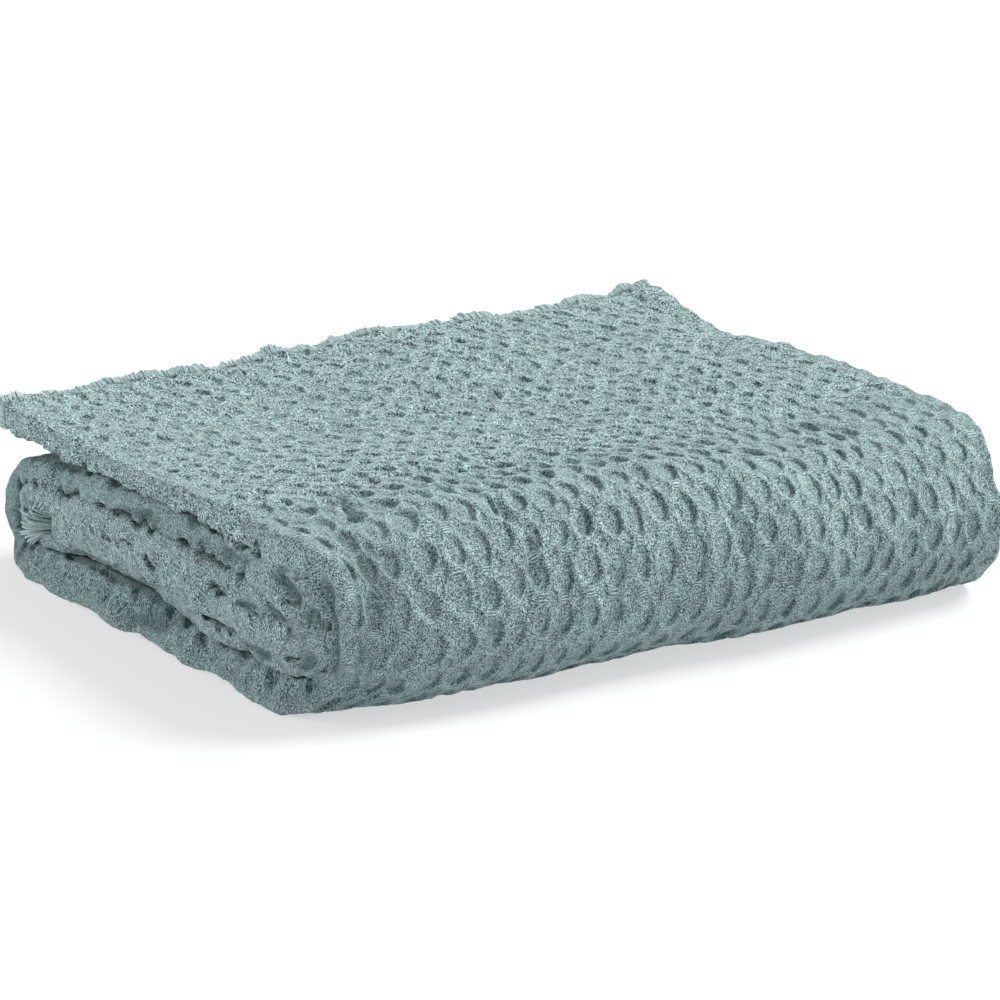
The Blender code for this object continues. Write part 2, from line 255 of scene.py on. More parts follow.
# Places where a side fold is drawn in, pushed forward or lifted: run, share along it, reach, side (0 left,
# 1 right), inward, forward, up.
EASES = (
    ("second", 0.72, 0.085, 0, 0.0075, 0.0, 0.0010),
    ("second", 0.50, 0.060, 0, 0.0050, 0.0, 0.0010),
    ("second", 0.16, 0.050, 0, 0.0030, 0.0, 0.0),
    ("back_two", 0.50, 0.055, 0, 0.0015, 0.0045, 0.0),
    ("core", 1.00, 0.030, 0, 0.0110, 0.0030, 0.0),
    ("fourth", 0.55, 0.060, 0, -0.0020, 0.0, 0.0),
    ("fifth", 0.40, 0.050, 0, -0.0010, 0.0, 0.0),
    ("fourth", 0.30, 0.050, 1, 0.0040, 0.0, 0.0),
    ("second", 0.55, 0.060, 1, 0.0030, 0.0, 0.0),
)


# ---- Small helpers ------------------------------------------------------------------------------
def ramp(value, start, end):
    """Smooth 0 to 1 step between start and end."""
    t = np.clip((value - start) / (end - start), 0.0, 1.0)
    return t * t * (3.0 - 2.0 * t)


def fade(value, start, end):
    """Smooth 1 to 0 step between start and end."""
    return 1.0 - ramp(value, start, end)


def bell(distance, width):
    """1 in the middle, about a third one width away, then nothing."""
    return np.exp(-(distance / width) ** 2)


def hashed(i, j, seed):
    """Repeatable value from 0 to 1 for each whole-number place."""
    mixed = i.astype(np.int64) * 374761393 + j.astype(np.int64) * 668265263 + seed * 974634777
    mixed = mixed & 0x7FFFFFFF
    mixed = ((mixed ^ (mixed >> 13)) * 1274126177) & 0x7FFFFFFF
    return ((mixed ^ (mixed >> 16)) & 0xFFFF) / 65535.0


def noise(x, y, seed):
    """Smooth random field from -1 to 1 with lumps one unit wide."""
    i, j = np.floor(x), np.floor(y)
    across, along = ramp(x - i, 0.0, 1.0), ramp(y - j, 0.0, 1.0)
    near = hashed(i, j, seed) * (1.0 - across) + hashed(i + 1, j, seed) * across
    far = hashed(i, j + 1, seed) * (1.0 - across) + hashed(i + 1, j + 1, seed) * across
    return 2.0 * (near * (1.0 - along) + far * along) - 1.0


def noise_line(x, seed):
    """The same along a line."""
    return noise(x, x * 0.0, seed)


def linear(hex_colour):
    """Linear RGBA of an sRGB hex colour."""
    parts = [int(hex_colour[i:i + 2], 16) / 255.0 for i in (1, 3, 5)]
    return (*[p / 12.92 if p <= 0.04045 else ((p + 0.055) / 1.055) ** 2.4 for p in parts], 1.0)


# ---- Section of the strip and path of the wrap --------------------------------------------------
def section_at(u):
    """Middle line of the strip's section, u metres along the cloth from ply two's selvedge.

    Gives x, n (height in the strip), and the side that the cloth's face looks to (x, n)."""
    right = np.clip((u - PLY_TWO_END) / TIGHT, 0.0, math.pi) - math.pi / 2
    left = np.clip((u - PLY_ONE_END) / WIDE, 0.0, math.pi) + math.pi / 2
    where = [u < PLY_TWO_END, u < RIGHT_NOSE_END, u < PLY_ONE_END, u < LEFT_NOSE_END]
    zero = np.zeros_like(u)
    x = np.select(where, [LEFT_X + u, RIGHT_X + TIGHT * np.cos(right), RIGHT_X - (u - RIGHT_NOSE_END),
                          LEFT_X + WIDE * np.cos(left)], LEFT_X + (u - LEFT_NOSE_END))
    n = np.select(where, [zero, TIGHT + TIGHT * np.sin(right), zero + PLY_PITCH, WIDE * np.sin(left)],
                  -PLY_PITCH)
    side_x = np.select(where, [zero, np.cos(right), zero, np.cos(left)], 0.0)
    side_n = np.select(where, [zero - 1.0, np.sin(right), zero + 1.0, np.sin(left)], -1.0)
    return x, n, side_x, side_n


def level(number):
    """Height of the middle of a layer, number 0 at the bottom."""
    return STRIP / 2 + number * LAYER_PITCH


def wrap_runs():
    """The wrap's runs from the flap's free end to the core: name, length and shape."""
    front, back = FRONT_CENTRE[0], BACK_CENTRE[0]
    return (
        ("top", abs(FLAP_END_Y - front), ("flat", FLAP_END_Y, -1.0, level(5), 1.0)),
        ("front", math.pi * FRONT_RADII[0], ("bend", FRONT_CENTRE, FRONT_RADII[0], -1.0, 1.0)),
        ("underside", back - front, ("flat", front, 1.0, level(0), -1.0)),
        ("back", math.pi * BACK_RADII[0], ("bend", BACK_CENTRE, BACK_RADII[0], 1.0, -1.0)),
        ("fifth", back - front, ("flat", back, -1.0, level(4), 1.0)),
        ("front_two", math.pi * FRONT_RADII[1], ("bend", FRONT_CENTRE, FRONT_RADII[1], -1.0, 1.0)),
        ("second", back - front, ("flat", front, 1.0, level(1), -1.0)),
        ("back_two", math.pi * BACK_RADII[1], ("bend", BACK_CENTRE, BACK_RADII[1], 1.0, -1.0)),
        ("fourth", back - front, ("flat", back, -1.0, level(3), 1.0)),
        ("front_three", math.pi * FRONT_RADII[2], ("bend", FRONT_CENTRE, FRONT_RADII[2], -1.0, 1.0)),
        ("core", INNER_END_Y - front, ("flat", front, 1.0, level(2), -1.0)),
    )


RUNS = wrap_runs()
RUN_START = dict(zip([run[0] for run in RUNS], np.cumsum([0.0] + [run[1] for run in RUNS])))
RUN_LENGTH = {run[0]: run[1] for run in RUNS}
CLOTH_RUN = float(sum(RUN_LENGTH.values()))


def path_at(s):
    """Place (y, z) of the wrap's middle line and its outward side, s metres from the flap's free end."""
    y, z, out_y, out_z = (np.zeros_like(s) for _ in range(4))
    for number, (name, length, shape) in enumerate(RUNS):
        first, last = number == 0, number == len(RUNS) - 1
        start = RUN_START[name]
        here = (s >= start) | first
        here &= (s < start + length) | last
        along = s[here] - start
        if shape[0] == "flat":
            _, y_start, heading, height, outward = shape
            y[here], z[here], out_z[here] = y_start + heading * along, height, outward
        else:
            _, centre, radius, side, outward_up = shape
            angle = along / radius
            out_y[here], out_z[here] = np.sin(angle) * side, np.cos(angle) * outward_up
            y[here] = centre[0] + radius * out_y[here]
            z[here] = centre[1] + radius * out_z[here]
    return y, z, out_y, out_z


# ---- Slump --------------------------------------------------------------------------------------
def layer_swell(table, z):
    """Swell of a side nose at height z, eased from the middle of one layer to the next."""
    position = (z - STRIP / 2) / LAYER_PITCH
    lower = np.clip(np.floor(position), 0, LAYERS - 1).astype(int)
    blend = ramp(position - lower, 0.0, 1.0)
    values = np.array(table)
    return values[lower] * (1.0 - blend) + values[np.minimum(lower + 1, LAYERS - 1)] * blend


def flap_lift(x, y):
    """How far the flap's free end rises at its two back corners."""
    back = ramp(y, BUNDLE_DEPTH / 2 - FLAP_LIFT_REACH["back"], FLAP_END_Y)
    left = fade(x, 0.0, FLAP_LIFT_REACH["left"])
    right = ramp(x, BUNDLE_LENGTH - FLAP_LIFT_REACH["right"], BUNDLE_LENGTH)
    return back * (LEFT_LIFT * left + RIGHT_LIFT * right)


def side_out(table, wave, y, z):
    """How far a side fold stands out."""
    length, phase = wave
    return layer_swell(table, z) * (0.75 + 0.25 * np.sin(y / length + phase))


def top_rise(x, y, on_flap):
    """How much the top is raised by its waves, its crown and its swells."""
    wave = sum(height * np.sin(2 * math.pi * (x / length_x + y / length_y) + phase)
               for height, length_x, length_y, phase in TOP_WAVES)
    rise = CROWN * ramp(x, 0.0, BUNDLE_LENGTH * CROWN_SHARE)
    for share, swell_y, reach, amount, with_flap in TOP_SWELLS:
        lift = amount * fade(np.hypot(x - share * BUNDLE_LENGTH, y - swell_y), 0.0, reach)
        rise += lift if with_flap else np.where(on_flap, 0.0, lift)
    return wave + rise


def uneven(x, y, z, on_flap):
    """Moves points of the plain bundle to their places in the slumped, uneven one."""
    near_left = fade(x, 0.0, CORNER_REACH)
    near_right = ramp(x, BUNDLE_LENGTH - CORNER_REACH, BUNDLE_LENGTH)
    near_front = fade(y, -BUNDLE_DEPTH / 2, -BUNDLE_DEPTH / 2 + CORNER_REACH)
    back = ramp(y, BUNDLE_DEPTH / 2 - CORNER_REACH, BUNDLE_DEPTH / 2)
    near_back = np.where(on_flap, 0.0, back)
    high = z / HEIGHT
    front_left = CORNER_PULL["front_left"] * near_front * near_left
    front_right = CORNER_PULL["front_right"] * near_front * near_right
    back_left = CORNER_PULL["back_left"] * near_back * near_left
    back_right = CORNER_PULL["back_right"] * near_back * near_right
    new_x = x - near_left * side_out(LEFT_SWELL, LEFT_WAVE, y, z)
    new_x += near_right * side_out(RIGHT_SWELL, RIGHT_WAVE, y, z)
    new_x += front_left + back_left - front_right - back_right
    new_y = y + front_left + front_right - back_left - back_right
    new_y -= np.where(on_flap, LEFT_SKEW * near_left * back, 0.0)
    new_y += SWAY[0] * np.sin(x / SWAY[1] + SWAY[2]) * high + RIPPLE[0] * np.sin(x / RIPPLE[1])
    wander = np.sin(math.pi * high) * np.sin(y / LAYER_WAVE_LENGTHS[0] + x / LAYER_WAVE_LENGTHS[1])
    new_z = z + high * top_rise(x, y, on_flap) + LAYER_WAVE * wander
    return new_x - BUNDLE_LENGTH / 2 + BOX_SHIFT[0], new_y + BOX_SHIFT[1], new_z


def fuller_nose(side_x, side_n):
    """How far past its round nose the cloth swells, in metres."""
    round_sum = np.abs(side_x) ** NOSE_SQUARE + np.abs(side_n) ** NOSE_SQUARE
    return (round_sum ** (-1.0 / NOSE_SQUARE) - 1.0) * (PLY / 2 + WIDE)


def settle(x, y, z):
    """How far the layers have moved up at the left end."""
    shifts = [np.interp(z, LEVEL_BOUNDS, row[1]) for row in LEFT_SETTLE]
    stops = [row[0] for row in LEFT_SETTLE]
    first = ramp(y, stops[0], stops[1])
    second = ramp(y, stops[1], stops[2])
    moved = shifts[0] * (1.0 - first) + shifts[1] * (first - second) + shifts[2] * second
    return moved * fade(x, 0.0, SETTLE_REACH)


def front_swell(x, y, z):
    """How much the plies stand apart and lift the stack along its front."""
    leftward = fade(x, *FRONT_SWELL_X)
    forward = fade(y, *FRONT_SWELL_Y)
    return FRONT_SWELL * leftward * forward * np.clip(z / HEIGHT, 0.0, 1.05) ** 3


def ease(x, s):
    """Moves of the side folds that are drawn in or pushed: inward, forward and up."""
    inward, forward, up = (np.zeros_like(x) for _ in range(3))
    for run, share, reach, side, row_in, row_forward, row_up in EASES:
        start, length = RUN_START[run], RUN_LENGTH[run]
        along = fade(np.abs(s - start - share * length), 0.0, reach)
        near = fade(x if side == 0 else BUNDLE_LENGTH - x, 0.0, EASE_REACH)
        weight = along * near
        inward += weight * row_in * (1.0 if side == 0 else -1.0)
        forward += weight * row_forward
        up += weight * row_up
    return inward, forward, up


def lip(u, s):
    """Rise of the flap's cut end, which the loose yarn has curled up here and there."""
    slow, quick = (noise_line(u / length, seed) for length, seed in zip(LIP_WAVES, (71, 72)))
    return LIP_RISE * (ramp(slow, -0.5, 0.9) + 0.45 * quick) * fade(s, *LIP_SPAN)


def nose_puff(x, y, s, side_n):
    """How far the layers swell towards their neighbours below, unevenly, at both sides of the bundle."""
    left = fade(x, 0.0, NOSE_PUFF_REACH)
    right = ramp(x, BUNDLE_LENGTH - NOSE_PUFF_REACH, BUNDLE_LENGTH)
    wave = 0.8 * noise(s / NOSE_PUFF_WAVE, side_n + 7.0, 61)
    front = 0.6 * fade(y, *NOSE_PUFF_FRONT)
    return NOSE_PUFF * np.maximum(left, right) * (1.0 + wave + front) * (side_n < 0.0)


def place(u, s, offset):
    """World positions of points of the cloth, offset metres out from its middle towards its face."""
    x, n, side_x, side_n = section_at(u)
    y, z, out_y, out_z = path_at(s)
    out = offset + fuller_nose(side_x, side_n)
    x = x + side_x * out
    n = n + side_n * (out + nose_puff(x, y, s, side_n)) + lip(u, s)
    point_y = y + n * out_y
    point_z = z + n * out_z
    on_flap = s < RUN_START["front"]
    point_z = point_z + np.where(on_flap, flap_lift(x, point_y), 0.0)
    inward, forward, up = ease(x, s)
    point_z = point_z + settle(x, point_y, point_z) + front_swell(x, point_y, point_z) + up
    px, py, pz = uneven(x + inward, point_y - forward, point_z, on_flap)
    return np.stack([px, py, np.maximum(pz, GROUND_GAP)], axis=-1)


# ---- Relief of the weave ------------------------------------------------------------------------
def hollow(p, q, half_p, half_q, seed, dash=0.0):
    """Depth share and painted shade of one lattice of hollows, each with its own place, size and depth.

    The floor of a hollow is nearly flat. It lies deepest beside the steep wall, towards the bundle's right,
    and that side gets a crescent of painted shade; the deepest hollows get painted shade on their whole
    floor.
    With a dash the middle gets painted shade too, as in a hollow that has closed."""
    i, j = np.floor(p + 0.5), np.floor(q + 0.5)
    dp = p - i - HOLLOW_SHIFT * (hashed(i, j, seed) - 0.5)
    dq = q - j - HOLLOW_SHIFT * (hashed(i, j, seed + 1) - 0.5)
    size_p = half_p * (HOLLOW_SIZES[0] + HOLLOW_SIZES[1] * hashed(i, j, seed + 2))
    size_q = half_q * (HOLLOW_SIZES[0] + HOLLOW_SIZES[1] * hashed(i, j, seed + 4))
    dp = (dp + HOLLOW_SKEW * (hashed(i, j, seed + 5) - 0.35) * dq) / size_p
    dq = dq / size_q
    distance = np.hypot(dp, dq)
    rightward = np.clip(STEEP_SIDE[0] * dp + STEEP_SIDE[1] * dq, -1.2, 1.2)
    depth = HOLLOW_DEPTHS[0] + HOLLOW_DEPTHS[1] * hashed(i, j, seed + 3) ** 3.0
    wall_start = WALL_START + WALL_SHIFT * np.clip(rightward, -0.6, 1.0)
    wall = fade((distance - wall_start) / (WALL_END - wall_start), 0.0, 1.0)
    rim = RIM_RISE * bell(distance - RIM_AT, RIM_WIDTH)
    # painted shade: a crescent on the steep wall, and over the whole floor of the deepest hollows
    painted_crescent = CRESCENT * bell(distance - CRESCENT_AT, CRESCENT_WIDTH)
    painted_crescent = painted_crescent * np.clip(0.10 + 0.95 * rightward, 0.0, 1.0)
    painted_shade = depth * np.maximum(painted_crescent, 1.1 * wall * np.clip(depth - 0.95, 0.0, 0.4))
    dash_p, dash_q = (dp - DASH_AT[0]) / DASH_SIZE[0], (dq - DASH_AT[1]) / DASH_SIZE[1]
    painted_shade = painted_shade + dash * np.exp(-dash_p ** 2 - dash_q ** 2)
    return wall * depth * (1.0 + FLOOR_TILT * rightward) - rim, painted_shade


def lattice(u, s, weave):
    """Cell coordinates of the honeycomb: whole numbers are the middles of its deep hollows."""
    p, q = ((u - RIGHT_NOSE_END) / weave.cell_width, s / weave.cell_length)
    p = p + SLOW_WANDER * noise(u / ACROSS_WANDER[0], s / ACROSS_WANDER[1], 11)
    q = q + SLOW_WANDER * noise(u / ALONG_WANDER[0], s / ALONG_WANDER[1], 12)
    quick_u, quick_s = u / QUICK_WANDER_LENGTH, s / QUICK_WANDER_LENGTH
    return p + QUICK_WANDER * noise(quick_u, quick_s, 13), q + QUICK_WANDER * noise(quick_u, quick_s, 14)


def pressed_share(u, s):
    """How much a face lies against its neighbour, where the relief is flattened."""
    _, _, _, side_n = section_at(u)
    inner = ramp(-side_n, 0.2, 1.0)
    outer = np.where(s < RUN_START["fifth"], 0.0, ramp(side_n, 0.2, 1.0))
    return np.maximum(inner, outer)


def flat_share(s):
    """1 on the middle of the flat top, where the throw's own weight has closed the hollows a little."""
    front = RUN_START["front"]
    return ramp(s, *FLAT_START) * fade(s, front - FLAT_END[0], front - FLAT_END[1])


def nose_share(u):
    """1 on the left noses, whose cloth is crumpled and open, falling to 0 on the flat."""
    starts = ramp(u, PLY_ONE_END - NOSE_MARGIN, PLY_ONE_END)
    return starts * fade(u, LEFT_NOSE_END, LEFT_NOSE_END + NOSE_MARGIN)


def nose_hollows(u, s):
    """Left-nose hollows and their painted shade: two close rows, one in each crevice beside the nose."""
    p = (u - PLY_ONE_END - NOSE_ROW) / (LEFT_NOSE_END - PLY_ONE_END - 2 * NOSE_ROW)
    q = s / NOSE_CELL + NOSE_WANDER[0] * noise(s / 0.027, u / 0.020, 15)
    p = p + NOSE_WANDER[1] * noise(u / 0.010, s / 0.013, 16)
    deep, hollow_painted_shade = hollow(p, q + 0.5 * np.floor(p + 0.5), *NOSE_HOLLOW, 51)
    share = 0.25 + 1.05 * ramp(noise(s / 0.021, u / 0.008, 17), -0.7, 0.6)
    bare_row = (p < 0.5) & (s < RUN_START["fifth"])
    share = share * np.where(bare_row, 0.12, 1.0) * (0.35 + 0.65 * ramp(s, 0.06, 0.14))
    lowest = (s > RUN_START["underside"]) & (s < RUN_START["back"])
    share = share * np.where(lowest, 1.35, 1.0)
    return deep * share, hollow_painted_shade * share * NOSE_PAINTED_SHADE


def ply_groove(u, s):
    """Depth of the gap between two plies that opens on the left nose of the front fold."""
    along = (s - RUN_START["front"]) / RUN_LENGTH["front"]
    middle = PLY_ONE_END + math.pi * WIDE * (0.50 + 0.12 * noise_line(s / 0.026, 81))
    opened = ramp(along, *GROOVE_OPENS) * fade(along, *GROOVE_CLOSES)
    return GROOVE_DEPTH * opened * bell(u - middle, GROOVE_WIDTH)


def creases(u, s):
    """Depth of the soft troughs where the cloth has been pressed."""
    depth = np.zeros_like(u)
    for start, end, half_width, deepest in CREASES:
        run_u, run_s = end[0] - start[0], end[1] - start[1]
        length = math.hypot(run_u, run_s)
        along = ((u - start[0]) * run_u + (s - start[1]) * run_s) / length ** 2
        wander = CREASE_WANDER * noise_line(along * length / CREASE_WANDER_LENGTH, 91)
        aside = np.abs((u - start[0]) * run_s - (s - start[1]) * run_u) / length + wander
        taper = ramp(along, -0.25, 0.25) * fade(along, 0.75, 1.25)
        depth = np.maximum(depth, deepest * taper * bell(aside, half_width))
    return depth


def under_share(s):
    """0 on the upper front, rising to 1 on its lowest rows and beyond."""
    return ramp(s, RUN_START["front"] + LOW_ROWS[0], RUN_START["front"] + LOW_ROWS[1])


def plain_share(u, s):
    """How much of the plain honeycomb is left on the noses, where the cloth is stretched or crumpled."""
    left_loss = nose_share(u) * np.where(s < RUN_START["front"], TOP_NOSE_LOSS, NOSE_LOSS)
    right_nose = ramp(u, PLY_TWO_END - 0.004, PLY_TWO_END + 0.004)
    right_nose = right_nose * fade(u, RIGHT_NOSE_END, RIGHT_NOSE_END + NOSE_MARGIN)
    return (1.0 - left_loss) * (1.0 - RIGHT_NOSE_LOSS * right_nose)


def soft_lumps(u, s, nose):
    """Uneven thickness of the soft cloth, in metres."""
    return sum((flat + extra * nose) * noise(u / across, s / along, 41 + number)
               for number, (flat, extra, across, along) in enumerate(LUMPS))


def place_shade(s, nose, under):
    """Painted shade share of whole places that light hardly reaches: the lowest rows and the back left
    noses.
    """
    behind = ramp(s, RUN_START["back"] - 0.020, RUN_START["back"] + 0.010)
    behind = behind * fade(s, RUN_START["fifth"] - 0.030, RUN_START["fifth"])
    return LOW_ROWS_SHADE * under * (s < CLOTH_RUN / 2) + BACK_NOSE_SHADE * nose * behind


def relief(u, s, weave):
    """Height of the cloth's face over its middle, and its cell coordinates and painted shade share."""
    p, q = lattice(u, s, weave)
    flat, nose, under, plain = flat_share(s), nose_share(u), under_share(s), plain_share(u, s)
    near_bend = bell(s - RUN_START["front"] + BEND_BEFORE, BEND_WIDTH)
    half_p, half_q = DEEP_HOLLOW
    dash = FLAT_DASH * flat + BEND_DASH * near_bend
    deep, hollow_painted_shade = hollow(p, q, half_p, half_q - FLAT_NARROWING * flat, 21, dash)
    shallow, second_painted_shade = hollow(p + 0.5, q + 0.5, *SECOND_HOLLOW, 31, SECOND_DASH * flat)
    open_deep, nose_painted_shade = nose_hollows(u, s)
    kept = (1.0 - PRESSED_LOSS * pressed_share(u, s) * (1.0 - nose)) * (1.0 - FLAT_LOSS * flat)
    ridge_p = ((p + 0.5) % 1.0 - 0.5) / CROSSING_SIZE[0]
    ridge_q = (q % 1.0 - 0.5) / CROSSING_SIZE[1]
    raised = CROSSING_RISE * np.exp(-ridge_p ** 2 - ridge_q ** 2)
    cells = deep * (1.0 + BEND_DEEPER * near_bend) + shallow * weave.second_share - raised
    cells = weave.pit_depth * cells * (1.0 + LOW_ROWS_DEEPER * under) * plain
    height = PLY / 2 - (cells + NOSE_DEPTH * open_deep * nose - soft_lumps(u, s, nose)) * kept
    height = np.maximum(height, FLOOR_LEVEL + FLOOR_SLOPE * (height - FLOOR_LEVEL))
    groove, crease = ply_groove(u, s), creases(u, s)
    height = height - groove - crease * (1.0 + NOSE_CREASE * nose)
    # painted shade: hollows, nose hollows, the groove, creases, crevices and whole low places
    painted_shade = (hollow_painted_shade + second_painted_shade * weave.second_share) * plain * (1.0 + LOW_ROWS_DARKER * under)
    painted_shade = painted_shade + nose_painted_shade * nose + GROOVE_SHADE * groove / GROOVE_DEPTH + CREASE_SHADE * crease
    painted_shade = painted_shade + (crease / CREVICE_DEPTH) ** 2 * nose + place_shade(s, nose, under)
    return height, p, q, np.clip(painted_shade * kept, 0.0, 1.0)


def edge_thinning(u, s):
    """The cloth is thinner along its cut ends and selvedges."""
    ends = np.minimum(np.minimum(s, CLOTH_RUN - s), np.minimum(u, CLOTH_WIDTH - u))
    return 1.0 - EDGE_THIN * fade(ends, -0.0005, 0.0045)


# ---- Sheets -------------------------------------------------------------------------------------
def spaced(*spans):
    """Places from the start of the first span to the end of the last: spans are (start, end, step)."""
    places = [np.linspace(a, b, max(2, round((b - a) / step) + 1))[:-1] for a, b, step in spans]
    return np.concatenate(places + [np.array([spans[-1][1]])])


def nose_span(start, end, radius, step):
    """A span round a nose, with the step measured on the cloth's face."""
    return (start, end, step * radius / (radius + PLY / 2))


def columns(part, weave):
    """Places across the cloth for one part of its width."""
    face, coarse, fold = weave.face_step, weave.hidden_step, weave.fold_step
    beside = fold * 1.3
    right = ((PLY_TWO_END - FOLD_MARGIN, PLY_TWO_END, beside),
             nose_span(PLY_TWO_END, RIGHT_NOSE_END, TIGHT, fold))
    left = (nose_span(PLY_ONE_END, LEFT_NOSE_END, WIDE, fold),
            (LEFT_NOSE_END, LEFT_NOSE_END + FOLD_MARGIN, beside))
    parts = {
        "band": right + ((RIGHT_NOSE_END, PLY_ONE_END, face),) + left,
        "band_coarse": right + ((RIGHT_NOSE_END, PLY_ONE_END, face * 1.7),) + left,
        "right_folds": right + ((RIGHT_NOSE_END, RIGHT_NOSE_END + FOLD_MARGIN, beside),),
        "left_folds": ((PLY_ONE_END - FOLD_MARGIN, PLY_ONE_END, fold),) + left,
        "ply_one": ((RIGHT_NOSE_END + FOLD_MARGIN, PLY_ONE_END - FOLD_MARGIN, coarse),),
        "ply_two": ((0.0, PLY_TWO_END - FOLD_MARGIN, coarse),),
        "ply_three": ((LEFT_NOSE_END + FOLD_MARGIN, CLOTH_WIDTH - SELVEDGE, coarse),),
        "selvedge": ((CLOTH_WIDTH - SELVEDGE, CLOTH_WIDTH, fold * 1.5),),
    }
    return spaced(*parts[part])


def rows(start, end, step, weave):
    """Places along the cloth; without a step they are far apart on the flat and close on the folds."""
    if step:
        return spaced((start, end, step))
    spans = []
    for name, length, shape in RUNS:
        a, b = max(start, RUN_START[name]), min(end, RUN_START[name] + length)
        if b > a:
            spans.append((a, b, weave.hidden_step if shape[0] == "flat" else shape[2] * FOLD_TURN))
    return spaced(*spans)


def on_face(u, s):
    """Lengths across and along the cloth in millimetres, as its face has them round the folds."""
    across = u + TIGHT_SPREAD * np.clip(u - PLY_TWO_END, 0.0, math.pi * TIGHT)
    across = across + WIDE_SPREAD * np.clip(u - PLY_ONE_END, 0.0, math.pi * WIDE)
    along = s + sum(STRIP / 2 * np.clip((s - RUN_START[name]) / shape[2], 0.0, math.pi)
                    for name, _, shape in RUNS if shape[0] == "bend")
    return across * 1000.0, along * 1000.0


def face_points(u, s, weave):
    """Positions of the cloth's face and what the material reads there: its cell coordinates and its share
    of painted shade.
    """
    height, p, q, share = relief(u, s, weave)
    thin = edge_thinning(u, s)
    return place(u, s, height * thin), np.stack([p, q, share], axis=-1)


def slope(u, s, weave):
    """Unit normals of the cloth's face, from its own shape a little to each side."""
    across = face_points(u + NORMAL_STEP, s, weave)[0] - face_points(u - NORMAL_STEP, s, weave)[0]
    along = face_points(u, s + NORMAL_STEP, weave)[0] - face_points(u, s - NORMAL_STEP, weave)[0]
    normal = np.cross(across, along)
    return normal / np.maximum(np.linalg.norm(normal, axis=-1, keepdims=True), 1e-12)


def strided(count, stride):
    """Every so many numbers up to count, with the last one always kept."""
    return np.unique(np.append(np.arange(0, count, stride), count - 1))


def rim_faces(fine, coarse, picks, flip):
    """Closes the sheet's edge: each hidden-face span is joined to the face points beside it."""
    faces = []
    for number, (a, b) in enumerate(zip(picks[:-1], picks[1:])):
        face = list(fine[a:b + 1]) + [coarse[number + 1], coarse[number]]
        faces.append(face[::-1] if flip else face)
    return faces


def grid_quads(number, flip):
    """Four-sided faces between the rows and columns of numbered points."""
    near, far = number[:-1], number[1:]
    corners = [near[:, :-1], near[:, 1:], far[:, 1:], far[:, :-1]]
    if flip:
        corners = [corners[0], corners[3], corners[2], corners[1]]
    return np.stack(corners, axis=-1).reshape(-1, 4).tolist()


def sheet_faces(outer, inner, pick_rows, pick_columns):
    """Faces of a closed sheet: its face, its hidden face, and the rim between them."""
    faces = grid_quads(outer, False) + grid_quads(inner, True)
    faces += rim_faces(outer[0], inner[0], pick_columns, True)
    faces += rim_faces(outer[-1], inner[-1], pick_columns, False)
    faces += rim_faces(outer[:, 0], inner[:, 0], pick_rows, False)
    faces += rim_faces(outer[:, -1], inner[:, -1], pick_rows, True)
    return [list(map(int, face)) for face in faces]


def sheet_mesh(name, u, s, stride, weave):
    """A closed thin sheet over the places u across and s along the cloth."""
    grid_u, grid_s = np.meshgrid(u, s)
    flat_u, flat_s = grid_u.ravel(), grid_s.ravel()
    picks = np.ix_(strided(len(s), stride), strided(len(u), stride))
    pick_rows, pick_columns = picks[0].ravel(), picks[1].ravel()
    face, woven = face_points(flat_u, flat_s, weave)
    normals = slope(flat_u, flat_s, weave)
    back_u, back_s = grid_u[picks].ravel(), grid_s[picks].ravel()
    back = place(back_u, back_s, -PLY / 2 * edge_thinning(back_u, back_s))
    outer = np.arange(grid_u.size).reshape(grid_u.shape)
    inner = outer.size + np.arange(back_u.size).reshape(len(pick_rows), len(pick_columns))
    faces = sheet_faces(outer, inner, pick_rows, pick_columns)

    def picked(values):
        """Values of the face at the hidden face's places."""
        return values.reshape(*grid_u.shape, 3)[picks].reshape(-1, 3)

    mesh = bpy.data.meshes.new(name)
    mesh.from_pydata(np.concatenate([face, back]).tolist(), [], faces)
    mesh.shade_smooth()
    mesh.normals_split_custom_set_from_vertices(np.concatenate([normals, -picked(normals)]).tolist())
    lengths = np.stack([*on_face(flat_u, flat_s), flat_u * 0.0], axis=-1)
    for layer, values in (("weave", woven), ("face_mm", lengths)):
        made = mesh.attributes.new(layer, "FLOAT_VECTOR", "POINT")
        made.data.foreach_set("vector", np.concatenate([values, picked(values)]).ravel())
    return mesh


def link_object(name, mesh, material):
    """Puts a mesh in the scene as a named object with one material."""
    mesh.materials.append(material)
    made = bpy.data.objects.new(name, mesh)
    bpy.context.scene.collection.objects.link(made)
    return made


